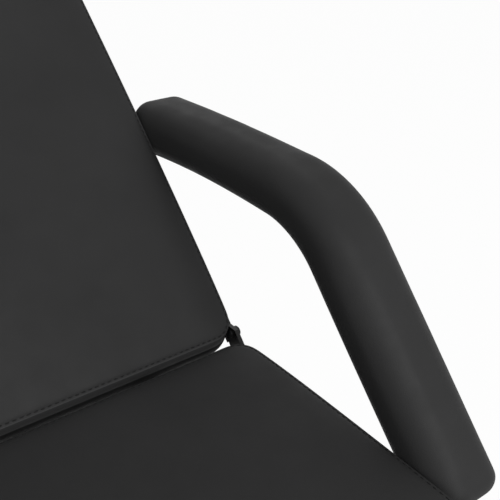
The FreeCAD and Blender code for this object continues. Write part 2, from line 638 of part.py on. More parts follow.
def outline(length, taper, far_corner, inset, z):
    """Plan outline of a panel from x = 0 to length: lines, corner arcs and sides that bow in by taper."""
    near = size.cushion_corner - inset / 2
    far = far_corner - inset / 2
    half = size.cushion_width / 2 - inset
    first, last = inset, length - inset
    run = last - far - first - near
    slope = math.atan2(2 * taper, run)
    far_half = half - taper

    def half_width(x):
        return half - taper * ((x - first - near) / run) ** 2

    def arc_points(x, y, radius, start, end):
        angles = (start, (start + end) / 2, end)
        return [(x + radius * math.cos(a), y + radius * math.sin(a)) for a in angles]

    quarter = math.pi / 2
    near_arc = arc_points(first + near, half - near, near, 2 * quarter, quarter)
    centre_x = last - far
    bow_end = (centre_x + far * math.sin(slope), far_half - far + far * math.cos(slope))
    far_arc = arc_points(centre_x, far_half - far, far, quarter - slope, 0)
    middle_x = (first + near + bow_end[0]) / 2
    bow = [near_arc[2], (middle_x, half_width(middle_x)), bow_end]
    upper = [near_arc, bow, far_arc]
    edges = []

    def add(points):
        spots = [Vector(x, y, z) for x, y in points]
        if len(spots) == 3 and taper_or_arc(points):
            edges.append(Part.Arc(*spots).toShape())
        else:
            edges.append(Part.makeLine(spots[0], spots[-1]))

    def taper_or_arc(points):
        (ax, ay), (bx, by), (cx, cy) = points
        return abs((bx - ax) * (cy - ay) - (by - ay) * (cx - ax)) > 1e-6

    for points in upper:
        add(points)
    add([(last, far_half - far), (last, far - far_half)])
    for points in reversed(upper):
        add([(x, -y) for x, y in reversed(points)])
    add([(first, near - half), (first, half - near)])
    return Part.Wire(edges)


def cushion(length, taper, far_corner):
    """Padded panel from z = 0: drawn in below and at the sewn edge, crowned above it, recessed for its board."""
    top = size.cushion_depth
    levels = [
        (size.edge_draw, 0),
        (0, top / 3),
        (0, 2 * top / 3),
        (size.edge_draw, top),
        (size.edge_draw + size.crown_rim, top + size.cushion_crown * 0.7),
        (size.edge_draw + size.crown_flat, top + size.cushion_crown),
    ]
    wires = [outline(length, taper, far_corner, inset, z) for inset, z in levels]
    solid = Part.makeLoft(wires, True, True)
    recess = Part.Face(outline(length, taper, far_corner, size.board_margin - size.board_clearance, 0))
    return solid.cut(recess.extrude(Vector(0, 0, size.board_depth + size.board_clearance)))


def board(length, taper, far_corner, stations):
    """Plywood panel from z = 0 with blind holes for its bolts at x = stations."""
    face = Part.Face(outline(length, taper, far_corner, size.board_margin, 0))
    solid = face.extrude(Vector(0, 0, size.board_depth))
    for x in stations:
        for side in (1, -1):
            spot = Vector(x, side * size.bolt_spacing / 2, 0)
            radius = size.bolt_radius + size.bolt_clearance
            solid = solid.cut(Part.makeCylinder(radius, size.bolt_bite + size.bolt_clearance, spot))
    return solid


def panel(name, length, near_x, backwards, stations, taper=0.0, far_corner=None, raised=False):
    """Cushion and board of one section, drawn away from its near end at near_x."""
    far_corner = far_corner or size.cushion_corner
    heading = -1 if backwards else 1
    local = [heading * (x - near_x) for x in stations]
    shapes = (("cushion", cushion(length, taper, far_corner)), ("board", board(length, taper, far_corner, local)))
    for kind, shape in shapes:
        thing = doc.addObject("Part::Feature", f"{name}_{kind}")
        shape.Placement = Placement(Vector(near_x, 0, size.underside), Rotation(Vector(0, 0, 1), 90 - 90 * heading))
        thing.Shape = shape.copy()
        if raised:
            pivot = Vector(size.hinge_x, 0, size.hinge_z)
            lift = Placement(Vector(), Rotation(Vector(0, 1, 0), size.backrest_angle), pivot)
            thing.Placement = lift.multiply(shape.Placement)
        piece(thing, f"{name}_{kind}")


def panels():
    half = size.cross_inset + size.cross_width / 2
    panel("seat", size.seat_length, size.seat_back, False, (size.seat_back + half, size.seat_front - half))
    panel("backrest", size.backrest_length, size.backrest_end, True,
          (size.strut_high_x, size.backrest_far_tube_x), size.head_taper, size.head_corner, raised=True)
    panel("legrest", size.legrest_length, size.legrest_end, False,
          (size.leg_strut_high_x, size.legrest_far_tube_x))


# Frames of the two moving sections

def section_frame(name, near_x, heading, length, strut_x, far_tube_x, raised):
    """Side tubes, cross tubes, caps, bolts and pins of a moving section. heading is 1 towards the foot."""
    start = f"({near_x} + {heading} * frame_inset)"
    end = f"({start} + {heading} * {length})"
    caps = []
    for side_name, side in SIDES:
        y = f"{side} * side_tube_y"
        bar = tube("X", length, "frame_width", "frame_width")
        place(bar, f"({start} + {end}) / 2", y, "frame_z", raised)
        piece(bar, f"{name}_side_tube_{side_name}")
        for x, outwards in ((start, -heading), (end, heading)):
            caps.append(end_cap(x, y, "frame_z", "frame_width", "frame_width", outwards))
        arm = backrest_hinge_arm(side) if raised else legrest_hinge_arm(side)
        piece(place(arm, raised=raised), f"{name}_hinge_arm_{side_name}")
    piece(place(group(*caps), raised=raised), f"{name}_end_caps")
    far = tube("Y", "frame_tube_length", "frame_width", "frame_width", bolted=True)
    piece(place(far, far_tube_x, "0", "frame_z", raised), f"{name}_far_tube")
    lever_x = f"{strut_x} + {heading} * lever_offset"
    strut_tube = place(tube("Y", "frame_tube_length", "frame_width", "frame_width", bolted=True),
                       strut_x, "0", "frame_z")
    lugs = lug_pair(strut_x, "upper_z", "upper_z", "frame_under", f"{heading} * lever_offset")
    for y in ("eye_width / 2 + lug_gap", "-eye_width / 2 - lug_gap - plate_depth"):
        lugs.append(rod("Y", lever_x, y, "upper_z", "eye_radius", "plate_depth"))
    whole = cut(fuse(strut_tube, *lugs), pin_hole(strut_x, "upper_z"),
                pin_hole(lever_x, "upper_z", "lever_pin_radius"))
    piece(place(whole, raised=raised), f"{name}_strut_tube")
    half = "(eye_width / 2 + lug_gap + plate_depth)"
    held = board_bolts((strut_x, far_tube_x), "frame_under", "frame_width")
    held.append(pin(strut_x, "upper_z", f"-{half}", half))
    held.append(pin(lever_x, "upper_z", f"-{half}", half, "lever_pin_radius"))
    piece(place(group(*held), raised=raised), f"{name}_fasteners")


def release_lever(name, strut_x, heading, length, raised):
    """Flat bar with a round eye and a moulded grip, along X under the board."""
    pivot_x = f"({strut_x} + {heading} * lever_offset)"
    nose = f"({pivot_x} - {heading} * lever_nose)"
    end = f"({pivot_x} + {heading} * {length})"
    grip_near = f"({end} - {heading} * grip_length)"
    bar = box(f"min({nose}; {grip_near})", "-lever_width / 2", "upper_z - lever_depth / 2",
              f"abs({grip_near} - {nose})", "lever_width", "lever_depth")
    eye = rod("Y", pivot_x, "-lever_width / 2", "upper_z", "lever_eye", "lever_width")
    body = new_body("grip")
    section = new_sketch(body, "YZ_Plane")
    rounded_rectangle(section, "grip_width", "grip_depth", "grip_round")
    pad(body, section, "grip_length")
    round_edges(body, "grip_round / 2", lambda edge: abs(abs(edge.CenterOfMass.x) - size.grip_length / 2) < 0.01)
    place(body, f"({grip_near} + {end}) / 2", "0", "upper_z")
    lever = cut(fuse(bar, eye, body), pin_hole(pivot_x, "upper_z", "lever_pin_radius"))
    piece(place(lever, raised=raised), f"{name}_release_lever")


# Lockable gas springs

def gas_spring(name, low_x, low_z, high_x, turn, raised):
    """Cylinder on the base, and a rod with its release head on the moving section."""
    eye = rod("Y", "0", "-eye_width / 2", "0", "eye_radius", "eye_width")
    neck = rod("Z", "0", "0", "0", "spring_neck", "spring_start")
    barrel = rod("Z", "0", "0", "spring_start", "spring_radius", "spring_length - spring_start")
    bore = rod("Z", "0", "0", "spring_start + spring_wall", "spring_radius - spring_wall",
               "spring_length - spring_start - spring_wall - guide_depth")
    mouth = rod("Z", "0", "0", "spring_length - guide_depth", "rod_radius + rod_clearance", "guide_depth")
    cylinder = cut(fuse(eye, neck, barrel), bore, mouth, pin_hole("0", "0"))
    piece(place(cylinder, low_x, "0", low_z, turn=turn), f"{name}_spring_cylinder")
    stem = rod("Z", "0", "0", "-rod_length", "rod_radius", "rod_length - head_hold")
    piston = rod("Z", "0", "0", "-rod_length", "spring_radius - spring_wall - rod_clearance", "piston_depth")
    collar = rod("Y", "0", "-eye_width / 2", "0", "head_radius", "eye_width")
    sleeve = rod("Z", "0", "0", "-head_length", "head_neck", "head_length")
    socket = rod("Z", "0", "0", "-head_length", "rod_radius", "head_length - head_hold")
    head = cut(fuse(collar, sleeve), socket, pin_hole("0", "0"))
    x, z = high_x, "upper_z"
    if raised:
        x = "(hinge_x - strut_reach * cos(strut_dip - backrest_angle))"
        z = "(hinge_z - strut_reach * sin(strut_dip - backrest_angle))"
    piece(place(fuse(stem, piston), x, "0", z, turn=turn), f"{name}_spring_rod")
    piece(place(head, x, "0", z, turn=turn), f"{name}_release_head")


# Armrests

def bent_path(drawing, corners, radii):
    """Straight runs between numeric corners, joined by tangent arcs that all bend to the right.

    Gives the edges in order, each with its first and last end."""
    edges = []
    start = Vector(*corners[0], 0)
    for index, radius in enumerate(radii, 1):
        before, here, after = (Vector(*corners[index + step], 0) for step in (-1, 0, 1))
        into = (here - before).normalize()
        out = (after - here).normalize()
        turn = into.getAngle(out)
        first = here - into * radius * math.tan(turn / 2)
        edges.append((drawing.addGeometry(Part.LineSegment(start, first), False), 1, 2))
        centre = first + Vector(into.y, -into.x, 0) * radius
        last_angle = math.atan2(into.x, -into.y)
        bend = Part.ArcOfCircle(Part.Circle(centre, Vector(0, 0, 1), radius), last_angle - turn, last_angle)
        edges.append((drawing.addGeometry(bend, False), 2, 1))
        start = here + out * radius * math.tan(turn / 2)
    edges.append((drawing.addGeometry(Part.LineSegment(start, Vector(*corners[-1], 0)), False), 1, 2))
    for (edge, first_end, last_end), (following, near_end, far_end) in zip(edges, edges[1:]):
        hold(drawing, "Tangent", edge, last_end, following, near_end)
    return edges


def pipe(body, section, path):
    feature = body.newObject("PartDesign::AdditivePipe", "pipe")
    feature.Profile = section
    feature.Spine = (path, [f"Edge{number + 1}" for number in range(path.GeometryCount)])
    return feature


def hoop(radii):
    """Bent tube from the foot of its rear post at the origin to the foot of its front post."""
    body = new_body("hoop")
    section = new_sketch(body, "XY_Plane")
    for radius in radii:
        circle(section, radius)
    path = new_sketch(body, "XZ_Plane")
    rise = size.arm_z - size.post_low_z
    elbow = size.elbow_x - size.rear_post_x
    front = size.front_post_x - size.rear_post_x
    fall = (front - elbow) * math.tan(math.radians(size.armrest_slope))
    corners = [(0, 0), (0, rise), (elbow, rise), (front, rise - fall), (front, 0)]
    ends = bent_path(path, corners, (size.rear_bend, size.elbow_round, size.core_bend))
    post, rear, top, bend, slant, turn, foot = ends
    hold(path, "Coincident", post[0], 1, -1, 1)
    hold(path, "Vertical", post[0])
    hold(path, "Horizontal", top[0])
    hold(path, "Vertical", foot[0])
    hold(path, "PointOnObject", foot[0], 2, -1)
    limit(path, "DistanceY", "arm_z - post_low_z", -1, 1, top[0], 1, start=rise)
    limit(path, "DistanceX", "front_post_x - rear_post_x", -1, 1, foot[0], 2, start=front)
    limit(path, "DistanceX", "elbow_start_x - rear_post_x", -1, 1, bend[0], 3,
          start=size.elbow_start_x - size.rear_post_x)
    limit(path, "DistanceY", "front_bend_z - post_low_z", -1, 1, foot[0], 1, start=size.front_bend_z - size.post_low_z)
    for edge, radius in ((rear[0], "rear_bend"), (bend[0], "elbow_round"), (turn[0], "core_bend")):
        limit(path, "Radius", radius, edge, start=getattr(size, radius))
    pipe(body, section, path)
    return body


def armrest_pad():
    """Padded sleeve from its rear end at the origin, over the elbow and down the front stretch."""
    body = new_body("pad")
    section = new_sketch(body, "YZ_Plane")
    rounded_rectangle(section, "pad_width", "pad_depth", "pad_corner")
    path = new_sketch(body, "XZ_Plane")
    elbow = size.elbow_x - size.pad_rear_x
    slope = math.radians(size.armrest_slope)
    end = (elbow + size.pad_front * math.cos(slope), -size.pad_front * math.sin(slope))
    top, bend, slant = bent_path(path, [(0, 0), (elbow, 0), end], (size.elbow_round,))
    hold(path, "Coincident", top[0], 1, -1, 1)
    hold(path, "Horizontal", top[0])
    limit(path, "Radius", "elbow_round", bend[0], start=size.elbow_round)
    limit(path, "DistanceX", "elbow_start_x - pad_rear_x", -1, 1, bend[0], 3, start=size.elbow_start_x - size.pad_rear_x)
    limit(path, "DistanceX", "elbow_x - pad_rear_x + pad_front * cos(armrest_slope)", -1, 1, slant[0], 2, start=end[0])
    limit(path, "DistanceY", "pad_front * sin(armrest_slope)", slant[0], 2, -1, 1, start=-end[1])
    pipe(body, section, path)
    tip = Vector(end[0], 0, end[1])
    heading = Vector(math.cos(slope), 0, -math.sin(slope))

    def at_an_end(edge):
        return all(abs(v.X) < 0.01 or abs((v.Point - tip).dot(heading)) < 0.01 for v in edge.Vertexes) \
            and (abs(edge.CenterOfMass.x) < 0.01 or abs((edge.CenterOfMass - tip).dot(heading)) < 0.01)

    round_edges(body, "pad_end_round", at_an_end)
    return body


def armrest_socket(side, x, clamped):
    """Upright socket on a bar from the rail. A clamped one has a threaded boss towards the foot end."""
    axis_y = f"{side} * armrest_y"
    bar_length = "armrest_y - rail_centre - rail_width / 2"
    bar_y = "rail_centre + rail_width / 2" if side == "1" else "-armrest_y"
    bar = box(f"{x} - bracket_width / 2", bar_y, "rail_z - bracket_width / 2", "bracket_width", bar_length,
              "bracket_width")
    hollow_y = f"{bar_y} + tube_wall" if side == "1" else f"{bar_y} + socket_radius"
    hollow = box(f"{x} - bracket_width / 2 + tube_wall", hollow_y, "rail_z - bracket_width / 2 + tube_wall",
                 "bracket_width - 2 * tube_wall", f"{bar_length} - socket_radius - tube_wall",
                 "bracket_width - 2 * tube_wall")
    barrel = rod("Z", x, axis_y, "socket_low_z", "socket_radius", "socket_length")
    bore = rod("Z", x, axis_y, "socket_low_z + socket_floor", "socket_bore", "socket_length - socket_floor")
    if not clamped:
        return cut(fuse(bar, barrel), bore, hollow)
    boss = rod("X", x, axis_y, "rail_z", "boss_radius", "socket_radius + boss_depth")
    thread = rod("X", x, axis_y, "rail_z", "screw_radius + screw_clearance", "socket_radius + boss_depth")
    return cut(fuse(bar, barrel, boss), bore, hollow, thread)


def star_knob():
    """Star knob and its screw along X, from the socket's axis at the origin."""
    body = new_body("knob")
    near = "(socket_radius + boss_depth + knob_gap)"
    disc = new_sketch(body, "YZ_Plane")
    bind(disc, **{".AttachmentOffset.Base.z": near})
    circle(disc, "knob_radius")
    pad(body, disc, "knob_depth", side="One side")
    round_edges(body, "knob_round", lambda edge: True)
    hollow = new_sketch(body, "YZ_Plane")
    bind(hollow, **{".AttachmentOffset.Base.z": near})
    edge = hollow.addGeometry(Part.Circle(Vector(0, 20, 0), Vector(0, 0, 1), 5.0), False)
    hold(hollow, "PointOnObject", edge, 3, -2)
    limit(hollow, "DistanceY", "knob_radius + scallop_radius / 2", -1, 1, edge, 3, start=20.0)
    limit(hollow, "Radius", "scallop_radius", edge, start=5.0)
    scallop = pocket(body, hollow, "3 * knob_depth")
    doc.recompute()
    around = body.newObject("PartDesign::PolarPattern", "around")
    around.Originals = [scallop]
    axes = {feature.Role: feature for feature in body.Origin.OriginFeatures}
    around.Axis = (axes["X_Axis"], [""])
    around.Occurrences = SCALLOPS
    body.Tip = around
    stud = new_sketch(body, "YZ_Plane")
    tip = "(core_radius + socket_clearance)"
    bind(stud, **{".AttachmentOffset.Base.z": tip})
    circle(stud, "screw_radius")
    pad(body, stud, f"{near} + knob_depth / 2 - {tip}", side="One side")
    return body


def armrests():
    sockets = (("front", "front_post_x", True), ("rear", "rear_post_x", False))
    for name, side in SIDES:
        y = f"{side} * armrest_y"
        core = place(hoop(("core_radius", "core_radius - core_wall")), "rear_post_x", y, "post_low_z")
        piece(core, f"armrest_core_{name}")
        space = place(hoop(("core_radius + pad_clearance",)), "rear_post_x", y, "post_low_z")
        sleeve = place(armrest_pad(), "pad_rear_x", y, "arm_z")
        piece(cut(sleeve, space), f"armrest_pad_{name}")
        for end, x, clamped in sockets:
            piece(armrest_socket(side, x, clamped), f"armrest_socket_{end}_{name}")
        piece(place(star_knob(), "front_post_x", y, "rail_z"), f"armrest_knob_{name}")


base_frame()
legs_and_feet()
lower_frame()
hinge_plates()
panels()
section_frame("backrest", "backrest_end", -1, "backrest_frame", "strut_high_x", "backrest_far_tube_x", True)
section_frame("legrest", "legrest_end", 1, "legrest_frame", "leg_strut_high_x", "legrest_far_tube_x", False)
release_lever("backrest", "strut_high_x", -1, "lever_length", True)
release_lever("legrest", "leg_strut_high_x", 1, "leg_lever_length", False)
gas_spring("backrest", "strut_low_x", "strut_low_z", "strut_high_x", "strut_turn", True)
gas_spring("legrest", "leg_strut_low_x", "leg_strut_low_z", "leg_strut_high_x", "leg_strut_turn", False)
armrests()
doc.recompute()

for thing in doc.Objects:
    if "Invalid" in thing.State or "Error" in thing.State:
        raise RuntimeError(f"{thing.Name} ({thing.Label}) failed: {thing.State}")
for thing in pieces:
    if thing.Shape.isNull() or not thing.Shape.isValid() or not thing.Shape.Solids:
        raise RuntimeError(f"{thing.Label} has no valid solid")
for thing in pieces:
    solids = thing.Shape.Solids
    shape = solids[0] if len(solids) == 1 else thing.Shape
    shape.exportStep(f"parts/{thing.Label}.step")
    print(thing.Label, len(solids), round(thing.Shape.Volume / 1000, 1), "cm3")
for name in ("hinge_x", "hinge_z", "knee_x", "knee_z", "strut_low_x", "strut_low_z", "strut_high_x",
             "leg_strut_low_x", "leg_strut_low_z", "leg_strut_high_x", "upper_z", "armrest_y",
             "front_post_x", "rear_post_x", "rail_z"):
    print("place", name, round(getattr(size, name), 4))
print(len(pieces), "pieces")
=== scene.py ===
# %% [markdown]
# # A massage table in charcoal faux leather
# The CAD model gives every rigid piece its place: the steel frame, the boards, the hinges, the gas
# springs. This lesson dresses it. The cushions and armrest pads become soft, sewn covers over foam, and
# every surface gets a finish made of nodes. Nothing is moved from where the frame puts it.

# %% Load the frame
import bpy
import json
import math
from mathutils import Matrix, Vector

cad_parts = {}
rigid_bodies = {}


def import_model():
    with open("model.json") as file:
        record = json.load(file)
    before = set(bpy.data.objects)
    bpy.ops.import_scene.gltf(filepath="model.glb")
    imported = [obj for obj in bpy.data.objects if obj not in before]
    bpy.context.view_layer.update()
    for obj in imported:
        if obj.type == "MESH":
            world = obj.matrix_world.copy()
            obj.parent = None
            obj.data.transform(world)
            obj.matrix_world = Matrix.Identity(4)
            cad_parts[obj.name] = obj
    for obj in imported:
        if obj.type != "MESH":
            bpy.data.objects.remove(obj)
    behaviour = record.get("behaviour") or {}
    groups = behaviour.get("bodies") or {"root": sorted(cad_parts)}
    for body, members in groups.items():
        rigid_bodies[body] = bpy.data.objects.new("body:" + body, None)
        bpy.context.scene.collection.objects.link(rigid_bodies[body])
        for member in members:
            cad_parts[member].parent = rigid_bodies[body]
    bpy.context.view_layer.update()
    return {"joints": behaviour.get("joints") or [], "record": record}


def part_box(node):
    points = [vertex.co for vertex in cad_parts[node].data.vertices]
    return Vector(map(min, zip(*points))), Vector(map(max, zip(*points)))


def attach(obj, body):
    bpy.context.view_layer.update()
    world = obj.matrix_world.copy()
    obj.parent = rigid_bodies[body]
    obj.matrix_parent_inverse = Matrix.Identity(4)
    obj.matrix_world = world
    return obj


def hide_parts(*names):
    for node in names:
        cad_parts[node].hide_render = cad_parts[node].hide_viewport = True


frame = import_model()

scene = bpy.context.scene
bpy.ops.object.select_all(action="DESELECT")

# %% [markdown]
# ## Where things are
# All sizes are in metres. The seat's back edge and the backrest's pivot are read from the frame, so the
# soft pieces sit where their boards are. The backrest is modelled lying flat, which keeps its outline
# simple, and swung up about its pivot as a last step.

# %% Sizes of the cushions
seat_low, seat_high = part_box("seat_cushion")
leg_low, leg_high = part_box("legrest_cushion")
pivot = next(Vector(joint["pos_m"]) for joint in frame["joints"] if joint["name"] == "backrest_recline")
cushion_depth = 0.070
cover_inset = 0.0015
backrest_gap = 0.0224
backrest_length = 0.750
near_inset = 0.003
backrest_tilt = math.radians(46)
underside = seat_low.z
sewn_edge = underside + cushion_depth
half_width = seat_high.y - cover_inset
backrest_near = seat_low.x - backrest_gap - near_inset
backrest_far = seat_low.x - backrest_gap - backrest_length
swing = Matrix.Translation(pivot) @ Matrix.Rotation(backrest_tilt, 4, "Y") @ Matrix.Translation(-pivot)
print("seat from", round(seat_low.x, 4), "to", round(seat_high.x, 4), "pivot", [round(v, 4) for v in pivot])

# %% [markdown]
# ## The camera
# The photograph is a close view over the near side of the seat towards the far armrest. The camera's place
# was worked out from the straight edges of the seat and backrest, measured from the seat's far back
# corner.

# %% Camera
corner = Vector((seat_low.x, seat_high.y, sewn_edge))
from_corner = Vector((0.62484, -0.45246, 0.53237))
right = Vector((0.5919, 0.8060, 0.0)).normalized()
up = Vector((-0.3800, 0.2791, 0.8819)).normalized()
back = right.cross(up)
camera_data = bpy.data.cameras.new("Camera")
camera_data.lens = 55.8
camera_data.sensor_width = 36.0
camera = bpy.data.objects.new("Camera", camera_data)
scene.collection.objects.link(camera)
turn = Matrix((right, up, back)).transposed().to_4x4()
camera.matrix_world = Matrix.Translation(corner + from_corner) @ turn
scene.camera = camera
print("camera at", [round(v, 3) for v in camera.matrix_world.translation])

# %% [markdown]
# ## Helpers for selecting and finishing
# Every operator acts on what is selected, so each step starts by selecting one object alone. A modifier is
# applied as soon as it has done its work, so that the finished piece is plain mesh.

# %% Helpers


def only(piece):
    """Select one object and make it active."""
    if bpy.context.mode != "OBJECT":
        bpy.ops.object.mode_set(mode="OBJECT")
    bpy.ops.object.select_all(action="DESELECT")
    piece.select_set(True)
    bpy.context.view_layer.objects.active = piece


def apply(piece, modifier):
    only(piece)
    bpy.ops.object.modifier_apply(modifier=modifier.name)


def new_piece(name, points, faces):
    """Object from points and faces, shaded smooth."""
    mesh = bpy.data.meshes.new(name)
    mesh.from_pydata(points, [], faces)
    mesh.update()
    piece = bpy.data.objects.new(name, mesh)
    scene.collection.objects.link(piece)
    only(piece)
    bpy.ops.object.shade_smooth()
    return piece


def subdivide(piece):
    finer = piece.modifiers.new("finer", "SUBSURF")
    finer.levels = 1
    finer.render_levels = 1
    apply(piece, finer)


# %% [markdown]
# ## Blowing up a cover
# A sewn cover over foam is tight at its seams and a little fuller between them. A cloth simulation gives
# that: the seams and the underside are pinned, and pressure inside pushes the rest out. Each point's way
# is limited, so that the cushion stays as firm as the real one.

# %% Inflate
air_pressure = 4.0
cloth_frames = 20
least_way = 1e-7


def inflate(piece, pinned, reach, firm):
    """Blow the cover up. Pinned points stay, and reach(index) limits how far the others go.

    A firm cover comes to its limit sooner.
    """
    points = piece.data.vertices
    start = [vertex.co.copy() for vertex in points]
    held = piece.vertex_groups.new(name="sewn")
    held.add(sorted(pinned), 1.0, "REPLACE")
    only(piece)
    cover = piece.modifiers.new("cover", "CLOTH")
    cover.settings.vertex_group_mass = "sewn"
    cover.settings.use_pressure = True
    cover.settings.uniform_pressure_force = air_pressure
    cover.settings.effector_weights.gravity = 0.0
    cover.settings.quality = 4
    cover.point_cache.frame_start = 1
    cover.point_cache.frame_end = cloth_frames
    for step in range(1, cloth_frames + 1):
        scene.frame_set(step)
    apply(piece, cover)
    scene.frame_set(1)
    piece.vertex_groups.clear()
    furthest = 0.0
    for index, vertex in enumerate(piece.data.vertices):
        way = vertex.co - start[index]
        limit = reach(index)
        furthest = max(furthest, way.length)
        if way.length > least_way:
            vertex.co = start[index] + way * (limit * math.tanh(firm * way.length / limit) / way.length)
    print(piece.name, len(start), "points, furthest way", round(furthest * 1000, 1), "mm before the limit")


# %% [markdown]
# ## The cut of a cushion
# Each cushion is a foam slab in a boxed cover: a top panel, a side strip and an underside, which is
# hollowed to take the board. The cover starts as a grid whose rows are close together along the sewn edge
# and wide apart in the middle. In the corners the rows are bent round, so that each row keeps its distance
# from the sewn edge. That makes it easy to put a fold, a groove or a row of stitches at a distance from
# the edge, which a remeshed slab would smear.

# %% Cushion grid
stitch_row = 0.0024
rim = (0, 0.0012, stitch_row, 0.0044, 0.0066, 0.0092, 0.018, 0.028)
row_pace = 0.0075
ridge_drop = 0.0075
side_drops = (0.0015, 0.0038, 0.0060, ridge_drop, 0.0090, 0.0120, 0.0160, 0.021, 0.028, 0.036, 0.045,
              0.054, 0.062, 0.067, 0.0697)
recess_height = 0.0142
recess_margin = 0.0080
recess_ease = 0.0066
board_shift_run = 0.1


def grid_rows(first, last):
    """Row places from first to last: the rim's distances at both ends, even steps between."""
    span = last - first - 2 * rim[-1]
    count = round(span / row_pace)
    middle = [first + rim[-1] + span * step / count for step in range(1, count)]
    return [first + gap for gap in rim] + middle + [last - gap for gap in reversed(rim)]


def bend_corner(x, y, ends, corners):
    """Move a grid point so that the rows run round the corner nearest to it."""
    from_first, from_last = x - ends[0], ends[1] - x
    inner = from_first < from_last
    from_end = from_first if inner else from_last
    radius = corners[0] if inner else corners[1]
    from_side = half_width - abs(y)
    if max(from_end, from_side) >= radius:
        return x, y
    row = radius - min(from_end, from_side)
    angle = math.pi / 4 * (1 + (from_end - from_side) / row)
    from_end = radius - row * math.cos(angle)
    from_side = radius - row * math.sin(angle)
    x = ends[0] + from_end if inner else ends[1] - from_end
    return x, math.copysign(half_width - from_side, y)


def loop_of(columns, lines):
    """Outer points of the grid, counter-clockwise from above."""
    return ([column * lines for column in range(columns)]
            + [(columns - 1) * lines + line for line in range(1, lines)]
            + [column * lines + lines - 1 for column in range(columns - 2, -1, -1)]
            + list(range(lines - 2, 0, -1)))


def cushion_cover(name, ends, corners, narrow, tapered):
    """Flat cover, with each point's part of the cover and its distance from the fold.

    The recess follows the board. It keeps the full width where a straight cover is pulled in, and on the
    tapered cover it reaches further towards the near end.
    """
    xs = grid_rows(ends[0], ends[1])
    ys = grid_rows(-half_width, half_width)
    columns, lines = len(xs), len(ys)
    plan = [bend_corner(x, y, ends, corners) for x in xs for y in ys]
    plan = [(x, y * narrow(x)) for x, y in plan]
    inset = [min(x - ends[0], ends[1] - x, half_width - abs(y)) for x in xs for y in ys]
    points = [(x, y, sewn_edge) for x, y in plan]
    zones = [("top", gap) for gap in inset]
    outer = loop_of(columns, lines)
    loops = [outer]
    for drop in side_drops:
        loops.append(list(range(len(points), len(points) + len(outer))))
        points += [(*plan[index], sewn_edge - drop) for index in outer]
        zones += [("side", drop)] * len(outer)
    below = dict(zip(outer, loops[-1]))
    for index in range(columns * lines):
        if index not in below:
            below[index] = len(points)
            over_board = recess_height if inset[index] > recess_margin else 0.0
            x, y = plan[index]
            eased = min(1.0, inset[index] / recess_ease)
            if tapered:
                x += near_inset * eased * max(0.0, 1 - (ends[1] - x) / board_shift_run)
            else:
                y *= 1 + eased * max(0.0, 1 / narrow(x) - 1)
            points.append((x, y, sewn_edge - side_drops[-1] + over_board))
            zones.append(("under", inset[index]))
    faces = []
    for column in range(columns - 1):
        for line in range(lines - 1):
            first = column * lines + line
            square = (first, first + lines, first + lines + 1, first + 1)
            faces.append(square)
            faces.append(tuple(below[index] for index in reversed(square)))
    for upper, lower in zip(loops, loops[1:]):
        for step in range(len(outer)):
            after = (step + 1) % len(outer)
            faces.append((upper[step], lower[step], lower[after], upper[after]))
    piece = new_piece(name, points, faces)
    print(name, len(points), "points")
    return piece, zones, loops


# %% [markdown]
# ## Sewing a cushion
# After the simulation the sewn details go in: the row under the stitches is drawn down, the fold is kept
# crisp with an edge crease, the seam's hidden welt shows as a low ridge on the side strip, and one
# subdivision rounds the rest. Fold and ridge are marked so that the material paints a highlight along them,
# and the side strip and underside are marked so that it paints them darker, as painted shade. The backrest's
# near end has a full, rounded nose over the gap, the seat's back edge droops a little, and the sides are
# tucked in beside the hinges.

# %% Sewing
crown = 0.0046
crown_run = 0.013
crown_start = 1.05
side_reach = 0.0005
groove = 0.00027
ridge = 0.0006
same_row = 0.0004
pinned_rim = 0.0028
cushion_firm = 5.0
droop_run = 0.008
droop_depth = 0.030
nose_half = 0.223
nose_square = 30
nose_rise = 0.022
nose_hold = 0.040
nose_fall = 0.030
faces_side = 0.7
faces_end = 0.2
fold_crease = 0.55


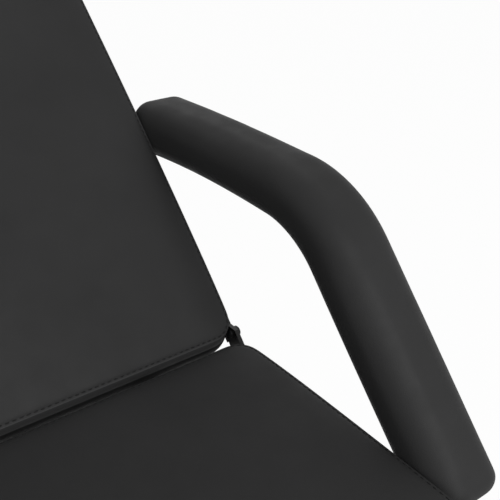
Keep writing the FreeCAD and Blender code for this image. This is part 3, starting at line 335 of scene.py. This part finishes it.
def sew_cushion(name, ends, corners, narrow, highlight_level, tapered=False, nose=0.0, tuck=0.0, droop=0.0):
    """Sewn cover, with a highlight painted along its fold and ridge as strong as the fourth argument says;
    nose, tuck and droop shape its near end, sides and back edge.
    """
    piece, zones, loops = cushion_cover(name, ends, corners, narrow, tapered)
    pinned = set(loops[0]) | set(loops[-1]) | set(loops[-2])
    for index, (zone, gap) in enumerate(zones):
        if zone == "under" or zone == "top" and gap < pinned_rim:
            pinned.add(index)

    def reach(index):
        zone, gap = zones[index]
        return crown * (crown_start - math.exp(-gap / crown_run)) if zone == "top" else side_reach

    def fullness(index):
        zone, gap = zones[index]
        if index in pinned:
            return 0.0
        return 1.0 if zone == "top" else math.sin(math.pi * min(1.0, gap / cushion_depth))

    inflate(piece, pinned, reach, cushion_firm)
    for index, vertex in enumerate(piece.data.vertices):
        zone, gap = zones[index]
        if zone == "top" and abs(gap - stitch_row) < same_row:
            vertex.co.z -= groove
        near_end = math.exp((ends[0] - vertex.co.x) / droop_run)
        near_end *= max(0.0, 1 - abs(vertex.co.y / half_width) ** 3)
        if zone == "top":
            vertex.co.z -= droop * near_end
        elif zone == "side":
            vertex.co.z -= droop * near_end * max(0.0, 1 - gap / droop_depth)
        outward = Vector((vertex.normal.x, vertex.normal.y, 0))
        if tuck and zone == "side" and abs(vertex.normal.y) > faces_side:
            vertex.co -= outward * tuck * math.sin(math.pi * min(1.0, gap / cushion_depth))
        if nose and zone == "side" and vertex.normal.x > faces_end:
            swell = max(0.0, 1 - (vertex.co.y / nose_half) ** nose_square)
            rise = math.sin(math.pi / 2 * min(1.0, gap / nose_rise))
            fall = math.cos(math.pi / 2 * max(0.0, (gap - nose_hold) / nose_fall))
            vertex.co += outward * nose * swell * rise * fall
        if zone == "side" and gap == ridge_drop:
            vertex.co += outward * ridge
    # Mark the fold and the ridge row, where a highlight is painted into the colour.
    fold = piece.data.attributes.new("fold", "FLOAT", "POINT")
    for index in loops[0] + loops[1 + side_drops.index(ridge_drop)]:
        fold.data[index].value = highlight_level
    # Mark the side strip below the ridge and the underside, which are painted darker as shade.
    strip = piece.data.attributes.new("strip", "FLOAT", "POINT")
    for index, (zone, gap) in enumerate(zones):
        strip.data[index].value = float(zone == "under" or zone == "side" and gap > ridge_drop)
    on_fold = set(loops[0])
    crease = piece.data.attributes.new("crease_edge", "FLOAT", "EDGE")
    for edge in piece.data.edges:
        if edge.vertices[0] in on_fold and edge.vertices[1] in on_fold:
            crease.data[edge.index].value = fold_crease
    subdivide(piece)
    return piece


near_corner = 0.036
back_corner = 0.025
seat_corner = 0.025
head_corner = 0.060
side_bow = 0.0024
bow_level = 0.12
bow_run = 0.13
near_wider = 0.0027
near_pulled_in = 0.0020
pulled_in_run = 0.045
head_taper = 0.0165
end_inset = 0.0005
# How strongly a highlight is painted along the fold: faint on the seat and legrest, full on the backrest.
faint_fold_highlight = 0.15
strong_fold_highlight = 1.0


def bowed(ends):
    """The long sides of a tight cover are a little fuller in the middle than at the corners."""
    def width(x):
        share = (x - ends[0]) / (ends[1] - ends[0])
        from_end = max(0.0, min(share, 1 - share))
        return 1 + side_bow * (1 - math.exp((bow_level - from_end) / bow_run)) / half_width
    return width


def towards_head(x):
    """The backrest narrows towards the head in a gentle bow."""
    run = backrest_length - back_corner - head_corner
    share = min(1.05, max(0.0, (backrest_near - back_corner - x) / run))
    pulled_in = near_pulled_in * math.exp((x - backrest_near) / pulled_in_run)
    return 1 + (near_wider - pulled_in - head_taper * share ** 2) / half_width


seat_ends = (seat_low.x + end_inset, seat_high.x - end_inset)
leg_ends = (leg_low.x + end_inset, leg_high.x - end_inset)
back_ends = (backrest_far, backrest_near)
seat_corners = (seat_corner, near_corner)
leg_corners = (near_corner, near_corner)
back_corners = (head_corner, back_corner)
seat = sew_cushion("seat_cover", seat_ends, seat_corners, bowed(seat_ends), faint_fold_highlight,
                   tuck=0.0020, droop=0.0016)
legrest = sew_cushion("legrest_cover", leg_ends, leg_corners, bowed(leg_ends), faint_fold_highlight)
backrest = sew_cushion("backrest_cover", back_ends, back_corners, towards_head, strong_fold_highlight, tapered=True,
                       nose=0.0140, tuck=0.0016)

# %% [markdown]
# ## Stitches
# A row of lockstitch runs round each cushion, on the top panel beside the fold. One stitch is a stretched,
# low sphere. It is copied along the row, laid on the cover and sunk a little, as thread under tension is.

# %% Stitches
stitch_size = (0.0026, 0.0008, 0.0005)
stitch_lift = 0.0003
stitch_pace = 0.0078
corner_steps = 12
path_pace = 0.02
path_lift = 0.001
bpy.ops.object.select_all(action="DESELECT")
bpy.ops.mesh.primitive_uv_sphere_add(segments=6, ring_count=4, radius=1, rotation=(0, math.pi / 2, 0))
pattern = bpy.context.object
bpy.ops.object.transform_apply(location=True, rotation=True, scale=True)
bpy.ops.transform.resize(value=stitch_size)
bpy.ops.object.transform_apply(location=True, rotation=True, scale=True)
stitch_points = [vertex.co.copy() for vertex in pattern.data.vertices]
stitch_faces = [tuple(face.vertices) for face in pattern.data.polygons]
bpy.data.objects.remove(pattern)


def walk(path, closed):
    """Even steps along a path: each step's place and heading."""
    route = path + [path[0]] if closed else path
    legs = [(b - a).length for a, b in zip(route, route[1:])]
    count = round(sum(legs) / stitch_pace)
    step = sum(legs) / count
    spots = []
    done, leg = 0.0, 0
    for number in range(count):
        want = (number + 0.5) * step
        while leg < len(legs) - 1 and done + legs[leg] < want:
            done += legs[leg]
            leg += 1
        heading = (route[leg + 1] - route[leg]).normalized()
        spots.append((route[leg] + heading * (want - done), heading))
    return spots


def sew_row(name, cover, path, closed=True):
    """One mesh with every stitch of a row, laid on the cover."""
    points, faces = [], []
    for spot, heading in walk(path, closed):
        place, normal = cover.closest_point_on_mesh(spot)[1:3]
        across = normal.cross(heading).normalized()
        along = across.cross(normal)
        first = len(points)
        for point in stitch_points:
            points.append(place + along * point.x + across * point.y + normal * (point.z + stitch_lift))
        faces += [tuple(first + index for index in face) for face in stitch_faces]
    piece = new_piece(name, points, faces)
    print(name, len(points) // len(stitch_points), "stitches")
    return piece


def stitch_path(ends, corners, narrow):
    """Row round a cushion, beside its fold and just above the cover."""
    points = []
    spots = [(ends[1], 1, corners[1], 0), (ends[0], 1, corners[0], 90),
             (ends[0], -1, corners[0], 180), (ends[1], -1, corners[1], 270)]
    for end, side, radius, start in spots:
        middle_x = end - radius if end == ends[1] else end + radius
        middle_y = side * (half_width - radius)
        for step in range(corner_steps + 1):
            angle = math.radians(start + step * 90 / corner_steps)
            x = middle_x + (radius - stitch_row) * math.cos(angle)
            points.append((x, middle_y + (radius - stitch_row) * math.sin(angle)))
    full = []
    for (ax, ay), (bx, by) in zip(points, points[1:] + points[:1]):
        steps = max(1, round(math.hypot(bx - ax, by - ay) / path_pace))
        full += [(ax + (bx - ax) * step / steps, ay + (by - ay) * step / steps) for step in range(steps)]
    return [Vector((x, y * narrow(x), sewn_edge + path_lift)) for x, y in full]


rows = []
cushions = (("seat", seat, seat_ends, seat_corners, bowed(seat_ends)),
            ("legrest", legrest, leg_ends, leg_corners, bowed(leg_ends)),
            ("backrest", backrest, back_ends, back_corners, towards_head))
for name, cover, ends, corners, narrow in cushions:
    rows.append((sew_row(f"{name}_stitches", cover, stitch_path(ends, corners, narrow)), name))

# %% [markdown]
# ## Swinging the backrest up
# The backrest's cover and its stitches were made flat. They now turn about the hinge pivot to the angle of
# the photograph. The turn goes into the mesh, so the objects themselves stay at the origin.

# %% Raise the backrest
backrest.data.transform(swing)
for row, name in rows:
    if name == "backrest":
        row.data.transform(swing)
for name, cover, *_ in cushions:
    body = "base" if name == "seat" else name
    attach(cover, body)
    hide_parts(f"{name}_cushion")
for row, name in rows:
    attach(row, "base" if name == "seat" else name)

# %% [markdown]
# ## The armrest pads
# Each pad is a foam sleeve over a bent tube: level behind the elbow, then sloping down to the front. Its
# cover is a rounded oblong drawn along that path, rounded over at both ends, with the seam underneath.
# The rings follow the path, so the cover bends without kinks. One pad is made, simulated and mirrored.

# %% Armrest sizes
pad_low, pad_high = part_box("armrest_pad_left")
pad_y = (pad_low.y + pad_high.y) / 2
pad_rear = pad_low.x
middle_below_top = 0.0335
arm_z = pad_high.z - middle_below_top
pad_slope = math.radians(48)
elbow_round = 0.135
elbow_ahead = 0.083
slope_length = 0.3265
elbow_x = seat_low.x + elbow_ahead
elbow_cut = elbow_round * math.tan(pad_slope / 2)
level_run = elbow_x - elbow_cut - pad_rear
bend_run = elbow_round * pad_slope
slope_run = slope_length - elbow_cut
pad_length = level_run + bend_run + slope_run
pad_half = (0.0395, 0.0330)
pad_corner = 0.0245
least_corner = 0.004
end_round = 0.017
end_steps = ((0.0, 1.0), (0.0006, 0.72), (0.0022, 0.49), (0.0050, 0.29), (0.0090, 0.115), (0.0130, 0.03))
ring_pace = 0.0065
lean_out = 0.0015
rear_arch = 0.0022
rear_sag = 0.0074
elbow_full = 0.0013
rear_full = 0.0022
pad_reach = 0.0014
pad_firm = 1.0
pad_share = 0.8
seam_gap = 0.0045
seam_draw = 0.0008
seam_margin = 0.02
seam_steps = 59
print("armrest pad", round(pad_length, 3), "m along its middle")


def front_share(along):
    """How far along the bent and sloping stretch, from 0 to 1."""
    return max(0.0, along - level_run) / (pad_length - level_run)


def pad_place(along):
    """Place and heading of the pad's middle line."""
    y = pad_y + lean_out * math.sin(math.pi / 2 * front_share(along))
    if along < level_run:
        share = along / level_run
        arch = rear_arch * math.sin(math.pi * share) - rear_sag * (1 - share) ** 2
        return Vector((pad_rear + along, y, arm_z + arch)), Vector((1, 0, 0))
    angle = min(pad_slope, (along - level_run) / elbow_round)
    place = Vector((pad_rear + level_run + elbow_round * math.sin(angle), y,
                    arm_z - elbow_round * (1 - math.cos(angle))))
    heading = Vector((math.cos(angle), 0, -math.sin(angle)))
    return place + heading * max(0.0, along - level_run - bend_run), heading


def pad_ring(inset, full_by=0.0):
    """Points of the pad's section, from the middle of its underside, drawn in by inset."""
    wide, high = pad_half[0] + full_by - inset, pad_half[1] + full_by - inset
    radius = max(least_corner, pad_corner - inset * 0.8)
    ring = []
    for side_y, side_z, start in ((1, -1, -90), (1, 1, 0), (-1, 1, 90), (-1, -1, 180)):
        for step in range(7):
            angle = math.radians(start + 15 * step)
            ring.append((side_y * (wide - radius) + radius * math.cos(angle),
                         side_z * (high - radius) + radius * math.sin(angle)))
    full = []
    for step, (ay, az) in enumerate(ring):
        full.append((ay, az))
        if step % 7 == 6:
            by, bz = ring[(step + 1) % len(ring)]
            parts = 3 if step in (6, 20) else 6
            full += [(ay + (by - ay) * part / parts, az + (bz - az) * part / parts)
                     for part in range(1, parts)]
    return full[-3:] + full[:-3]


# %% Armrest pads


def armrest_cover():
    stations = [(along, end_round * share) for along, share in end_steps]
    plain_run = pad_length - 2 * end_round
    count = round(plain_run / ring_pace)
    middle = [(end_round + plain_run * step / count, 0.0) for step in range(count + 1)]
    stations = stations + middle + [(pad_length - along, inset) for along, inset in reversed(stations)]
    points, zones = [], []
    around = len(pad_ring(0.0))
    for along, inset in stations:
        place, heading = pad_place(along)
        upward = Vector((-heading.z, 0, heading.x))
        to_rear = max(0.0, 1 - along / level_run)
        full_by = elbow_full * math.sin(math.pi * front_share(along)) + rear_full * to_rear ** 2
        for number, (y, z) in enumerate(pad_ring(inset, full_by)):
            points.append(place + Vector((0, y, 0)) + upward * z)
            zones.append((along, number))
    faces = []
    for ring in range(len(stations) - 1):
        for step in range(around):
            after = (step + 1) % around
            a, b = ring * around + step, ring * around + after
            faces.append((a, a + around, b + around, b))
    for ring, outward in ((0, -1), (len(stations) - 1, 1)):
        edge = [ring * around + step for step in range(around)]
        middle = sum((points[index] for index in edge), Vector()) / around
        for share in (0.66, 0.5):
            inner = list(range(len(points), len(points) + around))
            for index in edge:
                points.append(middle.lerp(points[index], share))
                zones.append((-1.0, zones[index][1]))
            for step in range(around):
                after = (step + 1) % around
                square = (edge[step], edge[after], inner[after], inner[step])
                faces.append(square if outward > 0 else square[::-1])
            edge = inner
        points.append(middle)
        zones.append((-1.0, 0))
        for step in range(around):
            after = (step + 1) % around
            spoke = (edge[step], edge[after], len(points) - 1)
            faces.append(spoke if outward > 0 else spoke[::-1])
    piece = new_piece("armrest_cover_left", points, faces)
    bpy.ops.object.mode_set(mode="EDIT")
    bpy.ops.mesh.select_all(action="SELECT")
    bpy.ops.mesh.normals_make_consistent(inside=False)
    bpy.ops.object.mode_set(mode="OBJECT")
    pinned = {index for index, (along, number) in enumerate(zones) if number == 0 or along < 0}

    def fullness(index):
        return 0.0 if index in pinned else pad_share

    inflate(piece, pinned, lambda index: pad_reach, pad_firm)
    for index, vertex in enumerate(piece.data.vertices):
        if zones[index][1] == 0 and zones[index][0] > seam_margin:
            vertex.co -= vertex.normal * seam_draw
    # The pads get this mark empty, so no highlight is painted on them.
    piece.data.attributes.new("fold", "FLOAT", "POINT")
    subdivide(piece)
    return piece


pads = {"left": armrest_cover()}
spots = [vertex.co for vertex in pads["left"].data.vertices]
print("pad across", round(max(p.y for p in spots) - min(p.y for p in spots), 4), "in the frame",
      round(pad_high.y - pad_low.y, 4), "top", round(max(p.z for p in spots) - pad_high.z, 4))
seam = []
for step in range(seam_steps + 1):
    place, heading = pad_place(seam_margin + (pad_length - 2 * seam_margin) * step / seam_steps)
    seam.append(place + Vector((heading.z, 0, -heading.x)) * pad_half[1])
pad_rows = {}
for number, gap in enumerate((-seam_gap, seam_gap)):
    path = [spot + Vector((0, gap, 0)) for spot in seam]
    pad_rows["left", number] = sew_row(f"armrest_stitches_left_{number}", pads["left"], path, closed=False)


def mirrored(piece, name):
    """Copy of a piece on the other side of the table, with its faces turned outwards again."""
    twin = piece.copy()
    twin.data = piece.data.copy()
    twin.name = name
    scene.collection.objects.link(twin)
    twin.data.transform(Matrix.Scale(-1, 4, (0, 1, 0)))
    twin.data.flip_normals()
    return twin


pads["right"] = mirrored(pads["left"], "armrest_cover_right")
for number in range(2):
    pad_rows["right", number] = mirrored(pad_rows["left", number], f"armrest_stitches_right_{number}")
for side, pad in pads.items():
    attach(pad, f"armrest_{side}")
    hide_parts(f"armrest_pad_{side}")
for (side, number), row in pad_rows.items():
    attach(row, f"armrest_{side}")

# %% [markdown]
# ## Finishes
# Every finish is a small node tree around one shader. The helpers below add a node, lay a noise pattern,
# and turn a grey pattern into a range of values, a tint or a relief. All patterns use Object coordinates
# in metres, so a scale of 900 makes marks of about a millimetre.

# %% Node helpers


def finish(name):
    """New material with its node tree and shader."""
    material = bpy.data.materials.new(name)
    material.use_nodes = True
    tree = material.node_tree
    shader = tree.nodes["Principled BSDF"]
    return material, tree, shader


def add(tree, kind, **values):
    node = tree.nodes.new(kind)
    for key, value in values.items():
        if key in node.inputs:
            node.inputs[key].default_value = value
        else:
            setattr(node, key, value)
    return node


def noise(tree, place, scale, detail=4.0, roughness=0.55):
    node = add(tree, "ShaderNodeTexNoise", Scale=scale, Detail=detail, Roughness=roughness)
    tree.links.new(place, node.inputs["Vector"])
    return node.outputs["Fac"]


def ranged(tree, value, low, high, start=0.3, end=0.7):
    """Map a grey value to a range."""
    node = add(tree, "ShaderNodeMapRange")
    for socket, number in zip(("From Min", "From Max", "To Min", "To Max"), (start, end, low, high)):
        node.inputs[socket].default_value = number
    tree.links.new(value, node.inputs["Value"])
    return node.outputs["Result"]


def tinted(tree, value, dark, light, start=0.3, end=0.7):
    """Map a grey value to a colour between two tones."""
    ramp = add(tree, "ShaderNodeValToRGB")
    ramp.color_ramp.elements[0].position = start
    ramp.color_ramp.elements[0].color = (*dark, 1)
    ramp.color_ramp.elements[1].position = end
    ramp.color_ramp.elements[1].color = (*light, 1)
    tree.links.new(value, ramp.inputs["Fac"])
    return ramp.outputs["Color"]


def mixed(tree, factor, colour, other, blend="MIX"):
    """Mix a colour with a plain one."""
    node = add(tree, "ShaderNodeMix", data_type="RGBA", blend_type=blend)
    tree.links.new(factor, node.inputs["Factor"])
    tree.links.new(colour, node.inputs[6])
    node.inputs[7].default_value = (*other, 1)
    return node.outputs[2]


def bump(tree, height, strength, distance, under=None):
    node = add(tree, "ShaderNodeBump", Strength=strength, Distance=distance)
    tree.links.new(height, node.inputs["Height"])
    if under:
        tree.links.new(under, node.inputs["Normal"])
    return node.outputs["Normal"]


def object_place(tree):
    return add(tree, "ShaderNodeTexCoord").outputs["Object"]


def seen_directly(tree):
    """1 for rays from the camera, a mirror or a clear surface, and 0 for the light on other surfaces."""
    rays = add(tree, "ShaderNodeLightPath")
    seen = add(tree, "ShaderNodeMath", operation="MAXIMUM")
    tree.links.new(rays.outputs["Is Camera Ray"], seen.inputs[0])
    tree.links.new(rays.outputs["Is Glossy Ray"], seen.inputs[1])
    either = add(tree, "ShaderNodeMath", operation="MAXIMUM")
    tree.links.new(seen.outputs["Value"], either.inputs[0])
    tree.links.new(rays.outputs["Is Transmission Ray"], either.inputs[1])
    return either.outputs["Value"]


# %% [markdown]
# ### Faux leather
# The cover is a soft charcoal vinyl. Its grain is a net of small cells, about a millimetre wide, pressed
# into the surface, with a slow unevenness beneath it. The colour drifts slightly. Along the fold and the
# ridge a highlight is painted into the colour, and the side strips and underside are painted darker as
# shade.

# %% Cover
cover_finish, tree, shader = finish("charcoal faux leather")
place = object_place(tree)
cells = add(tree, "ShaderNodeTexVoronoi", Scale=850.0, Randomness=1.0, feature="DISTANCE_TO_EDGE")
tree.links.new(place, cells.inputs["Vector"])
creases = ranged(tree, cells.outputs["Distance"], 0.0, 1.0, 0.0, 0.22)
slow = noise(tree, place, 38.0, 3.0)
drift = noise(tree, place, 7.0, 2.0)
tone = tinted(tree, drift, (0.0208, 0.0208, 0.0210), (0.0244, 0.0244, 0.0246))
strip = add(tree, "ShaderNodeAttribute", attribute_name="strip").outputs["Fac"]
# Painted highlight: the marked fold and ridge are painted lighter.
fold_highlight_mask = add(tree, "ShaderNodeAttribute", attribute_name="fold").outputs["Fac"]
fold_highlight_share = ranged(tree, fold_highlight_mask, 0.0, 1.0, 0.55, 1.0)
# Painted shade: the side strip and underside are painted darker, for the shade in the gap under the
# backrest's nose, and their specular level is lowered.
with_painted_shade = mixed(tree, strip, tone, (0.0120, 0.0120, 0.0122))
with_fold_highlight = mixed(tree, fold_highlight_share, with_painted_shade, (0.040, 0.040, 0.041))
tree.links.new(with_fold_highlight, shader.inputs["Base Color"])
tree.links.new(ranged(tree, slow, 0.54, 0.64), shader.inputs["Roughness"])
swell = bump(tree, slow, 0.12, 0.0012)
tree.links.new(bump(tree, creases, 0.35, 0.00012, swell), shader.inputs["Normal"])
tree.links.new(ranged(tree, strip, 0.12, 0.03, 0.0, 1.0), shader.inputs["Specular IOR Level"])
print("cover finish", len(tree.nodes), "nodes")

# %% [markdown]
# ### Thread
# The sewing thread is black and slightly waxed. A fine wave along it stands for its twist.

# %% Thread
thread_finish, tree, shader = finish("black thread")
place = object_place(tree)
twist = add(tree, "ShaderNodeTexWave", Scale=420.0, Distortion=1.5)
tree.links.new(place, twist.inputs["Vector"])
shade = tinted(tree, twist.outputs["Fac"], (0.003, 0.003, 0.003), (0.007, 0.007, 0.007))
tree.links.new(shade, shader.inputs["Base Color"])
tree.links.new(bump(tree, twist.outputs["Fac"], 0.4, 0.0002), shader.inputs["Normal"])
shader.inputs["Roughness"].default_value = 0.6
shader.inputs["Specular IOR Level"].default_value = 0.2

# %% [markdown]
# ### Steel, zinc and chrome
# The frame is gloss black paint, with the faint orange peel that sprayed paint has. The pivot pins are
# blackened in oil, and the bolts are zinc, whose crystals reflect a little differently. The gas springs'
# rods are chrome with hair-fine marks.

# %% Painted steel
paint_finish, tree, shader = finish("gloss black paint")
place = object_place(tree)
peel = noise(tree, place, 320.0, 2.0)
dust = noise(tree, place, 14.0, 5.0)
tree.links.new(tinted(tree, dust, (0.004, 0.004, 0.004), (0.008, 0.008, 0.008)), shader.inputs["Base Color"])
tree.links.new(ranged(tree, dust, 0.20, 0.32), shader.inputs["Roughness"])
tree.links.new(bump(tree, peel, 0.10, 0.0004), shader.inputs["Normal"])
shader.inputs["Specular IOR Level"].default_value = 0.3

satin_finish, tree, shader = finish("satin black paint")
place = object_place(tree)
peel = noise(tree, place, 500.0, 2.0)
dust = noise(tree, place, 20.0, 4.0)
tree.links.new(tinted(tree, dust, (0.016, 0.016, 0.016), (0.026, 0.026, 0.026)), shader.inputs["Base Color"])
tree.links.new(ranged(tree, dust, 0.36, 0.48), shader.inputs["Roughness"])
tree.links.new(bump(tree, peel, 0.12, 0.0003), shader.inputs["Normal"])

# %% Bare metals
pin_finish, tree, shader = finish("blackened steel")
place = object_place(tree)
oil = noise(tree, place, 90.0, 4.0)
tree.links.new(tinted(tree, oil, (0.010, 0.010, 0.011), (0.030, 0.030, 0.031)), shader.inputs["Base Color"])
tree.links.new(ranged(tree, oil, 0.30, 0.50), shader.inputs["Roughness"])
shader.inputs["Metallic"].default_value = 0.6

zinc_finish, tree, shader = finish("zinc plate")
place = object_place(tree)
crystals = add(tree, "ShaderNodeTexVoronoi", Scale=260.0)
tree.links.new(place, crystals.inputs["Vector"])
tree.links.new(tinted(tree, crystals.outputs["Color"], (0.42, 0.43, 0.45), (0.58, 0.59, 0.60), 0.1, 0.9),
               shader.inputs["Base Color"])
tree.links.new(ranged(tree, noise(tree, place, 60.0), 0.26, 0.42), shader.inputs["Roughness"])
shader.inputs["Metallic"].default_value = 1.0

chrome_finish, tree, shader = finish("chrome")
place = object_place(tree)
marks = noise(tree, place, 700.0, 6.0, 0.7)
shade = tinted(tree, noise(tree, place, 30.0), (0.60, 0.61, 0.62), (0.68, 0.69, 0.70))
tree.links.new(shade, shader.inputs["Base Color"])
tree.links.new(ranged(tree, marks, 0.05, 0.14), shader.inputs["Roughness"])
tree.links.new(bump(tree, marks, 0.04, 0.0002), shader.inputs["Normal"])
shader.inputs["Metallic"].default_value = 1.0

# %% [markdown]
# ### Plywood
# The boards are birch plywood. Along the edge the plies show as bands, light and dark by turns, and on the
# face the grain runs along the table. The raised board gets the same pattern turned with it, so the bands
# stay parallel to its face.

# %% Plywood


def plywood(name, tilt):
    material, tree, shader = finish(name)
    turned = add(tree, "ShaderNodeMapping", vector_type="TEXTURE")
    turned.inputs["Location"].default_value = pivot if tilt else Vector((0, 0, underside))
    turned.inputs["Rotation"].default_value = (0, tilt, 0)
    tree.links.new(object_place(tree), turned.inputs["Vector"])
    place = turned.outputs["Vector"]
    split = add(tree, "ShaderNodeSeparateXYZ")
    tree.links.new(place, split.inputs["Vector"])
    plies = add(tree, "ShaderNodeMath", operation="PINGPONG")
    plies.inputs[1].default_value = 0.0017
    tree.links.new(split.outputs["Z"], plies.inputs[0])
    stretch = add(tree, "ShaderNodeMapping")
    stretch.inputs["Scale"].default_value = (3.0, 60.0, 60.0)
    tree.links.new(place, stretch.inputs["Vector"])
    grain = noise(tree, stretch.outputs["Vector"], 3.0, 8.0, 0.65)
    face = tinted(tree, grain, (0.40, 0.26, 0.14), (0.62, 0.45, 0.28))
    bands = ranged(tree, plies.outputs["Value"], 0.0, 0.6, 0.0007, 0.0011)
    banded = mixed(tree, bands, face, (0.55, 0.42, 0.32), "MULTIPLY")
    tree.links.new(banded, shader.inputs["Base Color"])
    tree.links.new(ranged(tree, grain, 0.55, 0.72), shader.inputs["Roughness"])
    tree.links.new(bump(tree, grain, 0.15, 0.0004), shader.inputs["Normal"])
    return material


ply_finish = plywood("birch plywood", 0.0)
raised_ply_finish = plywood("birch plywood raised", backrest_tilt)

# %% [markdown]
# ### Plastic and rubber
# End caps, knobs and release heads are moulded black plastic with a fine spark-eroded texture. The feet
# are black rubber, duller and dustier.

# %% Plastic and rubber
plastic_finish, tree, shader = finish("moulded black plastic")
place = object_place(tree)
pebble = noise(tree, place, 1400.0, 2.0)
shade = tinted(tree, noise(tree, place, 40.0), (0.012, 0.012, 0.012), (0.019, 0.019, 0.019))
tree.links.new(shade, shader.inputs["Base Color"])
tree.links.new(ranged(tree, pebble, 0.42, 0.56), shader.inputs["Roughness"])
tree.links.new(bump(tree, pebble, 0.25, 0.0002), shader.inputs["Normal"])

rubber_finish, tree, shader = finish("black rubber")
place = object_place(tree)
dust = noise(tree, place, 55.0, 6.0, 0.65)
tree.links.new(tinted(tree, dust, (0.014, 0.014, 0.014), (0.034, 0.033, 0.032)), shader.inputs["Base Color"])
tree.links.new(ranged(tree, dust, 0.68, 0.88), shader.inputs["Roughness"])
tree.links.new(bump(tree, noise(tree, place, 600.0, 3.0), 0.2, 0.0003), shader.inputs["Normal"])

# %% [markdown]
# ## Dressing the frame
# Each CAD piece names the material slot it takes in the record. Its slots get the finish for that name,
# and the new soft pieces get leather and thread.

# %% Assign the finishes
by_slot = {"cover": cover_finish, "frame": paint_finish, "cylinder": satin_finish, "rod": chrome_finish,
           "fixing": zinc_finish, "plywood": ply_finish, "moulded": plastic_finish, "sole": rubber_finish}
by_node = {"backrest_board": raised_ply_finish, "pivot_pins": pin_finish}


def dress(piece, material):
    piece.data.materials.clear()
    piece.data.materials.append(material)


for part in frame["record"]["subparts"]:
    node = bpy.data.objects[part["node"]]
    material = by_node.get(part["node"], by_slot[part["material_slot"]])
    for slot in node.material_slots:
        slot.material = material
    if not node.material_slots:
        node.data.materials.append(material)
for piece in [seat, legrest, backrest, *pads.values()]:
    dress(piece, cover_finish)
for row in [row for row, name in rows] + list(pad_rows.values()):
    dress(row, thread_finish)

# %% [markdown]
# ## Floor and light
# The photograph is cut out on white. A pale floor that looks almost white to the camera keeps a faint
# shadow, and the world is white to the camera and to mirrors but dimmer as light. The key light stands
# high in front of the table's foot end, so the raised backrest is brighter than the level seat, as in the
# photograph.

# %% Floor
bpy.ops.object.select_all(action="DESELECT")
bpy.ops.mesh.primitive_plane_add(size=14)
floor = bpy.context.object
floor.name = "floor"
floor_finish = bpy.data.materials.new("pale floor")
floor_finish.use_nodes = True
tree = floor_finish.node_tree
tree.nodes.clear()
white_share = add(tree, "ShaderNodeMath", operation="MULTIPLY")
tree.links.new(seen_directly(tree), white_share.inputs[0])
white_share.inputs[1].default_value = 0.965
matt = add(tree, "ShaderNodeBsdfDiffuse", Color=(0.82, 0.82, 0.82, 1))
glow = add(tree, "ShaderNodeEmission", Color=(1, 1, 1, 1), Strength=1.0)
both = add(tree, "ShaderNodeMixShader")
tree.links.new(white_share.outputs["Value"], both.inputs[0])
tree.links.new(matt.outputs["BSDF"], both.inputs[1])
tree.links.new(glow.outputs["Emission"], both.inputs[2])
surface = add(tree, "ShaderNodeOutputMaterial")
tree.links.new(both.outputs["Shader"], surface.inputs["Surface"])
dress(floor, floor_finish)

# %% World
world = bpy.data.worlds.new("studio")
scene.world = world
world.use_nodes = True
tree = world.node_tree
backdrop = tree.nodes["Background"]
backdrop.inputs["Color"].default_value = (1, 1, 1, 1)
tree.links.new(ranged(tree, seen_directly(tree), 0.40, 1.0, 0.0, 1.0), backdrop.inputs["Strength"])
scene.view_settings.view_transform = "Standard"

# %% Lamps


def softbox(name, place, aim, width, power):
    lamp = bpy.data.lights.new(name, "AREA")
    lamp.shape = "SQUARE"
    lamp.size = width
    lamp.energy = power
    holder = bpy.data.objects.new(name, lamp)
    scene.collection.objects.link(holder)
    place, aim = Vector(place), Vector(aim)
    holder.rotation_euler = (aim - place).to_track_quat("-Z", "Y").to_euler()
    holder.location = place


softbox("key", (2.7, 0.1, 2.4), (-0.1, 0, 0.6), 1.8, 88)
softbox("fill", (0.6, -2.8, 1.9), (-0.1, 0.1, 0.7), 2.0, 10)
